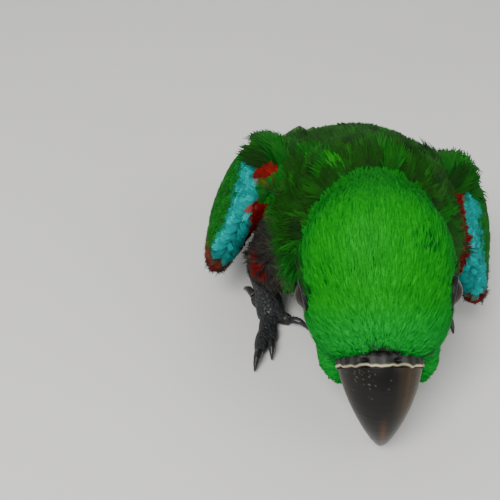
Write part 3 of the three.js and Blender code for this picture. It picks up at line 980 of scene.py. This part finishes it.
def stiff_vane(rng, at, root, tip, wide, level, tilt):
    """A closed feather on a sheet: points, faces, and each point's place across and along it."""
    along = np.linspace(0, 1, VANE_ROWS)
    outline = eased(VANE_OUTLINE, 48)
    leading, trailing = (np.interp(along, outline[:, 0], outline[:, c]) for c in (1, 2))
    ragged = 1 + rng.normal(0, 0.035, (2, VANE_ROWS))
    across = VANE_COLUMNS[None, :]
    half = np.where(across < 0, (leading * ragged[0])[:, None], (trailing * ragged[1])[:, None]) * wide
    over = half * across
    middle = np.stack([np.interp(along, [0, 1], ends) for ends in zip(root, tip)])
    sag = -0.075 * wide * np.abs(across) ** 1.5 * np.sin(np.pi * np.clip(along, 0.05, 0.95))[:, None]
    height = np.interp(along, [0, 1], level)[:, None] + tilt * over + sag
    shaft = np.where(np.abs(across) < 0.1, 0.3, 0.0) * (1 - 0.8 * along)[:, None]
    b = np.broadcast_to(middle[0][:, None], over.shape)
    u = middle[1][:, None] - over
    top = at(b, u, height + shaft + VANE_THICK / 2).reshape(-1, 3)
    low = at(b, u, height - VANE_THICK / 2).reshape(-1, 3)
    cell = np.arange(over.size).reshape(over.shape)
    quads = np.stack([cell[:-1, :-1], cell[:-1, 1:], cell[1:, 1:], cell[1:, :-1]], -1).reshape(-1, 4)
    rim = np.concatenate([cell[0], cell[1:, -1], cell[-1, -2::-1], cell[-2:0:-1, 0]])
    after = np.roll(rim, -1)
    edge = np.stack([after, rim, rim + over.size, after + over.size], 1)
    place = np.stack(np.broadcast_arrays(across, along[:, None]), -1).reshape(-1, 2)
    return np.concatenate([top, low]), np.concatenate([quads, quads[:, ::-1] + over.size, edge]), place


def feather_set(name, vanes_made, dyes):
    """One object from closed feathers, each with its own cell of the map and its own colours."""
    points, faces, colours, uv, web = [], [], [], [], []
    total = 0
    grid = math.ceil(math.sqrt(len(vanes_made)))
    for i, ((at, cells, place), dye) in enumerate(zip(vanes_made, dyes)):
        upper, under = dye(place)
        points.append(at)
        faces.append(cells + total)
        total += len(at)
        colours.append(np.concatenate([upper, under]))
        corner = np.array([i % grid, i // grid]) / grid
        spot = np.stack([place[:, 0] * 0.2 + 0.25, place[:, 1] * 0.9 + 0.05], 1)
        uv.append(np.concatenate([corner + spot / grid, corner + (spot + (0.5, 0)) / grid]))
        web.append(np.tile(np.column_stack([place, np.full(len(place), i)]), (2, 1)))
    made = outwards(mesh_object(name, np.concatenate(points), np.concatenate(faces)))
    coloured(made, np.concatenate(colours))
    loops = np.empty(len(made.data.loops), int)
    made.data.loops.foreach_get("vertex_index", loops)
    layer = made.data.uv_layers.new(name="OFBake")
    layer.data.foreach_set("uv", np.concatenate(uv)[loops].ravel())
    attribute = made.data.attributes.new("web", "FLOAT_VECTOR", "POINT")
    attribute.data.foreach_set("vector", np.concatenate(web).ravel())
    made.data.materials.append(VANE)
    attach(made, "root")
    return made


def stiff_feather(material):
    """Close-knit keratin webs, silky and nearly matt: fine barbs run out and forward from the shaft.

    The barbs are about 0.8 mm apart on a feather 55 mm long, twice as coarse as real ones, so that they
    show.
    """
    dye = add_node(material, "VertexColor", {"layer_name": "plumage"})
    web = add_node(material, "Attribute", {"attribute_name": "web"})
    parts = add_node(material, "SeparateXYZ", Vector=web.outputs["Vector"])
    side = add_node(material, "Math", {"operation": "ABSOLUTE"}, _0=parts.outputs["X"])
    slant = add_node(material, "Math", {"operation": "MULTIPLY"}, _0=side.outputs[0], _1=-0.14)
    run = add_node(material, "Math", {"operation": "ADD"}, _0=parts.outputs["Y"], _1=slant.outputs[0])
    barb = add_node(material, "CombineXYZ", X=run.outputs[0], Z=parts.outputs["Z"])
    lines = add_node(material, "TexNoise", Vector=barb.outputs[0], Scale=70.0, Detail=4.0)
    value = add_node(material, "MapRange", Value=lines.outputs["Fac"], _1=0.3, _2=0.7, _3=0.78, _4=1.18)
    tint = add_node(material, "HueSaturation", Color=dye.outputs["Color"], Value=value.outputs["Result"])
    bump = add_node(material, "Bump", Height=lines.outputs["Fac"], Strength=0.35, Distance=0.0004)
    shader = add_node(
        material,
        "BsdfPrincipled",
        Base_Color=tint.outputs["Color"],
        Normal=bump.outputs["Normal"],
        Roughness=0.6,
    )
    shader.inputs["Specular IOR Level"].default_value = 0.1
    return shader


VANE = plastered("feather_vane_silky", stiff_feather)


def dyed(outer, inner, edge=None, tip=None, under="#1c1b1c"):
    """The colours of a feather: its outer and inner webs, its edge and tip, and its underside."""

    def dye(place):
        across, along = place.T
        colours = painted(np.zeros((len(place), 3)), outer, np.ones(len(place)))
        colours = painted(colours, inner, smooth_step(0.0, 0.25, across))
        if edge:
            colours = painted(colours, edge, smooth_step(-0.5, -0.9, across) * (along < 0.85))
        if tip:
            colours = painted(colours, tip, smooth_step(0.9, 0.97, along))
        colours = painted(colours, "#15120f", np.abs(across) < 0.06)
        return colours, painted(colours * 0.25, under, np.full(len(place), 0.8))

    return dye


WING_TIERS = [
    # count, tilt, swell of the tips, then the first and the last feather of the tier: root and tip as
    # shares of the wing's length and height, level out of the sheet at both, and half width
    [5, 0.2, 0]
    + [[(0.26, 0.44), (0.58, 0.24), (3.0, 3.4), 6.0], [(0.26, 0.36), (0.66, 0.13), (2.7, 3.1), 7.0]],
    [10, 0.26, 0.03]
    + [[(0.26, 0.3), (0.7, 0.1), (2.4, 2.6), 6.5], [(0.08, 0.04), (0.71, -0.12), (0.7, 0.4), 6.0]],
    [10, 0.26, 0.1]
    + [[(0.08, 0), (0.76, -0.05), (0.3, -0.4), 5.6], [(0.27, -0.06), (0.94, -0.1), (-2.4, -3.6), 4.2]],
    [11, 0.16, 0]
    + [[(0.16, 0.42), (0.42, 0.36), (4.8, 6.2), 5.2], [(0.05, 0.12), (0.35, 0.12), (4.2, 4.6), 4.6]],
    [9, 0.16, 0]
    + [[(0.05, 0.02), (0.35, 0.05), (2.2, 3.6), 4.0], [(0.16, -0.1), (0.45, -0.1), (0.9, 0.8), 3.2]],
]
WING_DYES = [
    dyed("#0c5a0c", "#0a4c0e"),  # innermost feathers
    dyed("#0a5a10", "#0c2a12", edge="#0e6a10"),  # secondaries
    dyed("#06387c", "#0c0c0e", edge="#0a5c2a"),  # primaries
    dyed("#0c5e0c", "#0a4e10"),  # coverts of the secondaries
    dyed("#084a92", "#101c2a", edge="#08606a"),  # coverts of the primaries
]


def wing_feathers(rng, wing):
    """All closed feathers of a wing, with their colours."""

    def at(b, u, n):
        return wing.at(np.asarray(b) * wing.length, u, n)

    made, dyes = [], []
    for (count, tilt, swell, first, last), dye in zip(WING_TIERS, WING_DYES):
        for i in range(count):
            t = i / (count - 1)
            pairs = zip(first[:3], last[:3])
            root, tip, level = ([p + (q - p) * t for p, q in zip(*pair)] for pair in pairs)
            wide = first[3] + (last[3] - first[3]) * t
            end = [tip[0] + swell * math.sin(math.pi * t) + rng.normal(0, 0.004), tip[1] * wing.height]
            start = [root[0], root[1] * wing.height]
            made.append(stiff_vane(rng, at, start, end, wide, level, tilt))
            dyes.append(dye)
    return made, dyes


for name, wing in WINGS.items():
    wing_rng = np.random.default_rng(61 if name == "left" else 62)
    flight = feather_set("flight_feathers_" + name, *wing_feathers(wing_rng, wing))
    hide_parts("wing_" + name)


# --- Tail feathers ------------------------------------------------------------------------------------
# Six pairs of broad, square-ended feathers in a shallow fan that lies on the floor, the middle pair on
# top. They are green above, bluer to the outside, with a narrow yellow tip, and black below.
TAIL_LENGTH = 78
TAIL_PAIRS = 6
TAIL_ROOT_Z = 11
TAIL_TIP_Z = 4.9


def on_tail(b, u, n):
    """A point of the tail's sheet, which bends down from the rump and then lies level."""
    b, u, n = np.broadcast_arrays(b, u, n)
    fall = np.sin(np.minimum(1, b / (0.7 * TAIL_LENGTH)) * 0.5 * np.pi)
    return in_tail(np.stack([u, RUMP_Y + b, TAIL_ROOT_Z + (TAIL_TIP_Z - TAIL_ROOT_Z) * fall + n], -1))


tail_rng = np.random.default_rng(71)
tail_vanes, tail_dyes = [], []
for side in (-1, 1):
    for i in range(TAIL_PAIRS):
        # Each feather lies below the one nearer the middle, and one of the middle pair on the other.
        lower = -0.72 * i + (0.7 if i == 0 and side < 0 else 0)
        root, tip = (6, side * (1 + 1.1 * i)), (TAIL_LENGTH - 0.7 * i * i, side * (4 + 2.7 * i))
        tail_vanes.append(stiff_vane(tail_rng, on_tail, root, tip, 7.6, (0.5 * lower, lower), 0.02))
        outer = "#0c5a0e" if i < 3 else "#0a406c"
        inner = "#0a460c" if i < 2 else "#0c2233"
        tail_dyes.append(dyed(outer, inner, tip="#8a8434" if i > 1 else "#3f6a1e"))
tail = feather_set("tail_feathers", tail_vanes, tail_dyes)
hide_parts("tail")


# --- Eyes -------------------------------------------------------------------------------------------
# Round wet eyes set deep in the sides of the head: a very dark brown iris round a black pupil, under a
# clear cornea, in dark lids with a thin pale rim.
EYE_RADIUS = 6
EYE_AT = {"left": (18.9, -8.5, 2), "right": (-18.9, -8.5, 2)}
LID_OPEN = 46  # degrees from the pupil's middle to the rim of the lids
LID_ROWS = [
    # degrees beyond the rim, height over the eyeball, share of the rim's pale colour
    [3, -0.2, 1],
    [0, 0.3, 0.9],
    [3, 0.5, 0.1],
    [7, 0.45, 0],
    [12, 0.2, 0],
    [18, -0.5, 0],
    [26, -1.6, 0],
    [12, -1.6, 0],
]
LID_SIDES = 64
EYE_SIDES = 48


def gaze_of(side):
    """The way that an eye looks: out, and a little forward and up."""
    return unit(np.array([1.0 if side == "left" else -1.0, -0.22, 0.06]))


def dome(gaze, radius, angles, sides):
    """Rings about a gaze line at the given angles from it, as fractions of a ball of that radius."""
    u = unit(np.cross(gaze, (0, 0, 1.0)))
    v = np.cross(gaze, u)
    turn = np.linspace(0, 2 * np.pi, sides, endpoint=False)[:, None]
    rim = np.cos(turn) * u + np.sin(turn) * v
    return [radius * (math.cos(a) * gaze + math.sin(a) * rim) for a in angles]


def eye_dye(angle):
    """The eye's colour by its angle from the middle of the pupil, in degrees."""
    colours = painted(np.zeros((len(angle), 3)), "#0e0604", np.ones(len(angle)))
    colours = painted(colours, "#1c0b06", smooth_step(40, 30, angle))
    colours = painted(colours, "#30150a", smooth_step(31, 27, angle) * 0.7)
    return painted(colours, "#030303", smooth_step(26, 24.5, angle))


def wet_eye(material):
    """A smooth clear cornea over the iris: a sharp wet shine. The iris has flecks 0.5 mm wide, coarser
    than its real fibres, so that they show.
    """
    dye = add_node(material, "VertexColor", {"layer_name": "plumage"})
    place = add_node(material, "TexCoord")
    rays = add_node(material, "TexNoise", Vector=place.outputs["Object"], Scale=1800.0, Detail=2.0)
    value = add_node(material, "MapRange", Value=rays.outputs["Fac"], _3=0.75, _4=1.25)
    tint = add_node(material, "HueSaturation", Color=dye.outputs["Color"], Value=value.outputs["Result"])
    shader = add_node(material, "BsdfPrincipled", Base_Color=tint.outputs["Color"], Roughness=0.3)
    shader.inputs["Specular IOR Level"].default_value = 0.1
    shader.inputs["Coat Weight"].default_value = 0.14
    shader.inputs["Coat Roughness"].default_value = 0.03
    return shader


def bare_skin(material):
    """Dry bare skin with a waxy low shine, in pebbles 0.6 mm wide and mottled in spots 2.4 mm wide."""
    dye = add_node(material, "VertexColor", {"layer_name": "plumage"})
    place = add_node(material, "TexCoord")
    pebble = add_node(material, "TexVoronoi", Vector=place.outputs["Object"], Scale=1600.0)
    mottle = add_node(material, "TexNoise", Vector=place.outputs["Object"], Scale=420.0, Detail=3.0)
    value = add_node(material, "MapRange", Value=mottle.outputs["Fac"], _3=0.75, _4=1.25)
    tint = add_node(material, "HueSaturation", Color=dye.outputs["Color"], Value=value.outputs["Result"])
    bump = add_node(material, "Bump", Height=pebble.outputs["Distance"], Strength=0.35, Distance=0.0003)
    shader = add_node(
        material,
        "BsdfPrincipled",
        Base_Color=tint.outputs["Color"],
        Normal=bump.outputs["Normal"],
        Roughness=0.5,
    )
    shader.inputs["Specular IOR Level"].default_value = 0.2
    return shader


CORNEA = plastered("cornea_wet", wet_eye)
BARE_SKIN = plastered("bare_skin_waxy", bare_skin)


def body_piece(thing, slot, material, *nodes, colours=None):
    """Finishes a piece of the bird: its colours, its material, and hiding the imported parts that it
    stands for. Its slot is not used.
    """
    if colours is not None:
        coloured(thing, colours)
    thing.data.materials.clear()
    thing.data.materials.append(material)
    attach(thing, "root")
    if nodes:
        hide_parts(*nodes)
    return thing


for side in ("left", "right"):
    gaze = gaze_of(side)
    angles = np.radians(np.concatenate([np.linspace(1.5, 60, 34), np.linspace(66, 174, 16)]))
    rings = np.array(dome(gaze, EYE_RADIUS, angles, EYE_SIDES))
    rings[:18] += gaze * 0.35 * np.cos(np.linspace(0, np.pi / 2, 18))[:, None, None]
    eye = outwards(mesh_object("eyeball_" + side, *lofted(from_head(rings + np.array(EYE_AT[side])))))
    dyes = eye_dye(np.degrees(np.repeat(angles, EYE_SIDES)))
    body_piece(eye, "eye", CORNEA, "eye_" + side, colours=dyes)

    rings = []
    for out, lift, _ in LID_ROWS:
        rings += dome(gaze, EYE_RADIUS + lift, [math.radians(LID_OPEN + out)], LID_SIDES)
    at = np.concatenate(rings)
    around = np.arange(LID_SIDES)
    cells = []
    for r in range(len(LID_ROWS)):
        a, b = r * LID_SIDES + around, r * LID_SIDES + (around + 1) % LID_SIDES
        ahead = ((r + 1) % len(LID_ROWS) - r) * LID_SIDES
        cells += np.stack([a, b, b + ahead, a + ahead], 1).tolist()
    lids = outwards(mesh_object("eyelids_" + side, from_head(at + np.array(EYE_AT[side])), cells))
    grey = painted(np.zeros((len(at), 3)), "#0f1511", np.ones(len(at)))
    grey = painted(grey, "#64645c", np.repeat([row[2] for row in LID_ROWS], LID_SIDES))
    body_piece(lids, "cere", BARE_SKIN, colours=grey)


# --- Bill -------------------------------------------------------------------------------------------
# The hooked upper bill and the scoop below it: smooth grown horn, near black with brown streaks along
# its length, a warm painted highlight along the ridge near the tip and a soft shine. Pale flecks are left
# at its base.
BILL_WIDTH = 28
CULMEN_RADIUS = 31
CERE_LENGTH = 3
CULMEN_AT = np.array([0, FACE_Y + 4, -20])
BILL_ROWS = [
    # degrees round the arc, half width, depth
    [96, 0.5, 20],
    [80, 0.49, 19.5],
    [64, 0.45, 18],
    [48, 0.375, 15],
    [32, 0.27, 11.5],
    [16, 0.155, 7.5],
    [0, 0.045, 2.5],
]


def bill_rings(rows, sides, grow=0.0):
    """Sections of the upper bill, turned about the centre of the arc of its ridge."""
    turn = np.linspace(0, 2 * np.pi, sides, endpoint=False)
    drop = 0.5 - 0.5 * np.cos(turn)
    rings = []
    for degrees, wide, deep in rows:
        a = math.radians(degrees)
        out = np.array([0, -math.cos(a), math.sin(a)])
        radius = CULMEN_RADIUS + grow - drop * (deep + 2 * grow)
        x = np.sin(turn) * (0.85 + 0.2 * drop) * (wide * BILL_WIDTH + grow)
        rings.append(CULMEN_AT + out * radius[:, None] + np.stack([x, 0 * x, 0 * x], 1))
    return np.array(rings)


def horn(material):
    """Smooth horn with a soft gloss, dulled in places. Growth has left streaks 0.5 mm wide along it, a
    little coarser than real ones, and ripples 2 mm apart across it.
    """
    dye = add_node(material, "VertexColor", {"layer_name": "plumage"})
    grown = add_node(material, "Attribute", {"attribute_name": "grown"})
    streak = add_node(material, "Mapping", Vector=grown.outputs["Vector"], Scale=(26.0, 1.6, 1.0))
    fibre = add_node(material, "TexNoise", Vector=streak.outputs[0], Scale=1, Detail=5, Roughness=0.6)
    value = add_node(material, "MapRange", Value=fibre.outputs["Fac"], _1=0.3, _2=0.7, _3=0.4, _4=1.25)
    tint = add_node(material, "HueSaturation", Color=dye.outputs["Color"], Value=value.outputs["Result"])
    ripple = add_node(material, "Mapping", Vector=grown.outputs["Vector"], Scale=(1.0, 22.0, 1.0))
    growth = add_node(material, "TexNoise", Vector=ripple.outputs[0], Scale=1.0, Detail=2.0)
    worn = add_node(material, "MapRange", Value=fibre.outputs["Fac"], _3=0.24, _4=0.42)
    bump = add_node(material, "Bump", Height=growth.outputs["Fac"], Strength=0.25, Distance=0.0004)
    shader = add_node(
        material,
        "BsdfPrincipled",
        Base_Color=tint.outputs["Color"],
        Roughness=worn.outputs["Result"],
        Normal=bump.outputs["Normal"],
        IOR=1.54,
    )
    shader.inputs["Specular IOR Level"].default_value = 0.26
    return shader


HORN = plastered("horn_grown_polished", horn)


def grown(thing, around, along):
    """Marks how each point lies round and along the way that the horn grew."""
    attribute = thing.data.attributes.new("grown", "FLOAT_VECTOR", "POINT")
    place = np.stack([around, along, 0 * along], 1)
    attribute.data.foreach_set("vector", place.ravel())


BILL_SIDES = 200
base_plane = FACE_Y - CERE_LENGTH - 0.3
rows = eased(BILL_ROWS, 240)
first = np.argmax(bill_rings(rows, 4)[:, 0, 1] < base_plane)
bill_at = bill_rings(rows[first - 1 :], BILL_SIDES)
bill_at[..., 1] = np.minimum(bill_at[..., 1], base_plane)
along = np.repeat(np.linspace(0, 1, len(bill_at)), BILL_SIDES)
around = np.tile(np.linspace(0, 2 * np.pi, BILL_SIDES, endpoint=False), len(bill_at))
upper = outwards(mesh_object("bill_upper", *lofted(from_head(bill_at))))
grown(upper, np.sin(around), along)
top = np.cos(around)
shades = painted(np.zeros((len(along), 3)), "#0b0806", np.ones(len(along)))
shades = painted(shades, "#080604", smooth_step(0.75, 0.98, top) * smooth_step(0.75, 0.4, along))
shades = painted(shades, "#201a10", smooth_step(0.85, 0.3, top) * 0.8)
brown = smooth_step(0.3, 0.8, np.sin(around)) * smooth_step(0.7, 0.3, along)
shades = painted(shades, "#382a13", brown * 0.8)
# painted highlight: a thin warm streak along the ridge, towards the tip
amber_ridge_highlight = np.exp(-(((np.sin(around) - 0.06) / 0.13) ** 2)) * smooth_step(0.35, 0.6, along) * (top > 0)
shades = painted(shades, "#4c280c", amber_ridge_highlight * 0.85)
fleck_rng = np.random.default_rng(81)
for _ in range(44):
    middle = (fleck_rng.normal(-0.55, 0.4), fleck_rng.uniform(0.02, 0.26))
    size = fleck_rng.uniform(0.003, 0.008)
    away = np.hypot(np.angle(np.exp(1j * (around - middle[0]))) * 0.35, along - middle[1])
    shades = painted(shades, "#6a6454", smooth_step(size, size * 0.4, away) * 0.6)
body_piece(upper, "bill", HORN, "upper_bill", colours=shades)

LOWER_ROWS = [
    # forwards of the face, up, half width, half height
    [0.3, -13.6, 10.3, 6.3],
    [4, -14.5, 10, 6.5],
    [10, -16.5, 8.5, 5.5],
    [15, -17.5, 5.5, 3.5],
    [18, -17, 2.5, 1.2],
]
LOWER_SIDES = 40
turn = np.linspace(0, 2 * np.pi, LOWER_SIDES, endpoint=False)
scoop = []
for forward, up, wide, high in eased(LOWER_ROWS, 30):
    y = np.full(LOWER_SIDES, FACE_Y - forward)
    scoop.append(np.stack([np.cos(turn) * wide, y, up + np.sin(turn) * high], 1))
lower = outwards(mesh_object("bill_lower", *lofted(from_head(scoop))))
along = np.repeat(np.linspace(0, 1, len(scoop)), LOWER_SIDES)
grown(lower, np.tile(np.cos(turn), len(scoop)), along)
shades = painted(np.zeros((len(along), 3)), "#100d0a", np.ones(len(along)))
body_piece(lower, "bill", HORN, "lower_bill", colours=shades)


# --- Cere -------------------------------------------------------------------------------------------
# The narrow band of bare dark grey skin between the feathers and the bill, with the nostrils in it,
# darkened with painted shade, and a thin wavy line of pale yellow where the horn starts.
CERE_SIDES = 120
turn = np.linspace(0, 2 * np.pi, CERE_SIDES, endpoint=False)
cere_rings, cere_dyes = [], []
outline = bill_rings(rows[first - 1 : first], CERE_SIDES)[0]
away = unit((outline - outline.mean(axis=0)) * (1, 0, 1))
NOSTRILS = (-5.0, 5.0)
CERE_SWELL = [
    # forwards of the face, swell beyond the bill's outline
    (-1.2, -1.6),
    (-0.9, -0.4),
    (0, 0.15),
    (0.9, 0.3),
    (2.3, 0.3),
    (2.9, 0.2),
    (3.15, -0.35),
    (3.2, -2.5),
]
wander = np.sin(turn * 7 + 1.3) + 0.6 * np.sin(turn * 17) + 0.4 * np.sin(turn * 29 + 2)
for depth in [-1.2, -0.9, *np.linspace(0, 3.15, 16), 3.2]:
    swell = np.interp(depth, *zip(*CERE_SWELL))
    ring = outline + away * (swell + 0.1 * np.sin(turn * 11) * (swell > 0))[:, None]
    ring[:, 1] = FACE_Y - depth - 0.2 * wander * smooth_step(0.2, 1.5, depth)
    dent = sum(np.exp(-(((ring[:, 0] - x) / 1.1) ** 2 + ((depth - 1.3) / 0.75) ** 2)) for x in NOSTRILS)
    dent = dent * (ring[:, 2] > 0)
    ring -= away * (1.5 * dent)[:, None]
    dyes = painted(np.zeros((CERE_SIDES, 3)), "#181817", np.ones(CERE_SIDES))
    dyes = painted(dyes, "#3a3a34", np.clip(0.4 * np.sin(turn * 23) + 0.2, 0, 1))
    line = np.exp(-(((depth - 2.65 + 0.12 * np.sin(turn * 13)) / 0.3) ** 2))
    dyes = painted(dyes, "#c2ba94", line * (0.75 + 0.25 * np.sin(turn * 5 + 2)))
    # painted shade: the nostril dents are darkened, as shade falls inside the openings
    dyes = painted(dyes, "#0b0a09", np.clip(dent * 1.6, 0, 1))
    cere_rings.append(ring)
    cere_dyes.append(dyes)
cere = outwards(mesh_object("cere_band", *lofted(from_head(cere_rings))))
body_piece(cere, "cere", BARE_SKIN, "cere", colours=np.concatenate(cere_dyes))


# --- Feet -------------------------------------------------------------------------------------------
# Dark grey scaled feet with two toes forward and two back, and curved black claws of smooth horn.
def scaled_skin(material):
    """Dry hard scales: dull plates 1.6 mm wide with dark grooves between them."""
    place = add_node(material, "TexCoord")
    plates = add_node(
        material,
        "TexVoronoi",
        {"feature": "DISTANCE_TO_EDGE"},
        Vector=place.outputs["Object"],
        Scale=620.0,
    )
    groove = add_node(material, "MapRange", Value=plates.outputs["Distance"], _1=0.0, _2=0.12)
    tint = add_node(material, "ValToRGB", Fac=groove.outputs["Result"])
    tint.color_ramp.elements[0].color = (*linear("#0b0b0b"), 1)
    tint.color_ramp.elements[1].color = (*linear("#191a1c"), 1)
    bump = add_node(material, "Bump", Height=groove.outputs["Result"], Strength=0.7, Distance=0.0004)
    return add_node(
        material,
        "BsdfPrincipled",
        Base_Color=tint.outputs["Color"],
        Normal=bump.outputs["Normal"],
        Roughness=0.55,
    )


def claw_horn(material):
    """Thin black horn, smooth and a little glossy, clouded in spots 1.4 mm wide."""
    place = add_node(material, "TexCoord")
    grain = add_node(material, "TexNoise", Vector=place.outputs["Object"], Scale=700.0, Detail=3.0)
    tint = add_node(material, "ValToRGB", Fac=grain.outputs["Fac"])
    tint.color_ramp.elements[0].color = (*linear("#151417"), 1)
    tint.color_ramp.elements[1].color = (*linear("#2c2a2c"), 1)
    return add_node(material, "BsdfPrincipled", Base_Color=tint.outputs["Color"], Roughness=0.35)


SCALES = plastered("scaled_skin_dry", scaled_skin)
CLAW = plastered("claw_horn_smooth", claw_horn)
for side in ("left", "right"):
    foot = settled(
        joined("toes_" + side, [merged_copy("foot_" + side)]),
        ("REMESH", {"mode": "VOXEL", "voxel_size": 0.55 * MM}),
        ("SMOOTH", {"factor": 0.5, "iterations": 4}),
    )
    foot.data.shade_smooth()
    body_piece(foot, "scales", SCALES, "foot_" + side)
    for toe in "1234":
        claw = settled(
            joined(f"talon_{side}_{toe}", [merged_copy(f"claw_{side}_{toe}")]),
            ("REMESH", {"mode": "VOXEL", "voxel_size": 0.22 * MM}),
            ("SMOOTH", {"factor": 0.5, "iterations": 3}),
        )
        claw.data.shade_smooth()
        body_piece(claw, "claws", CLAW, f"claw_{side}_{toe}")
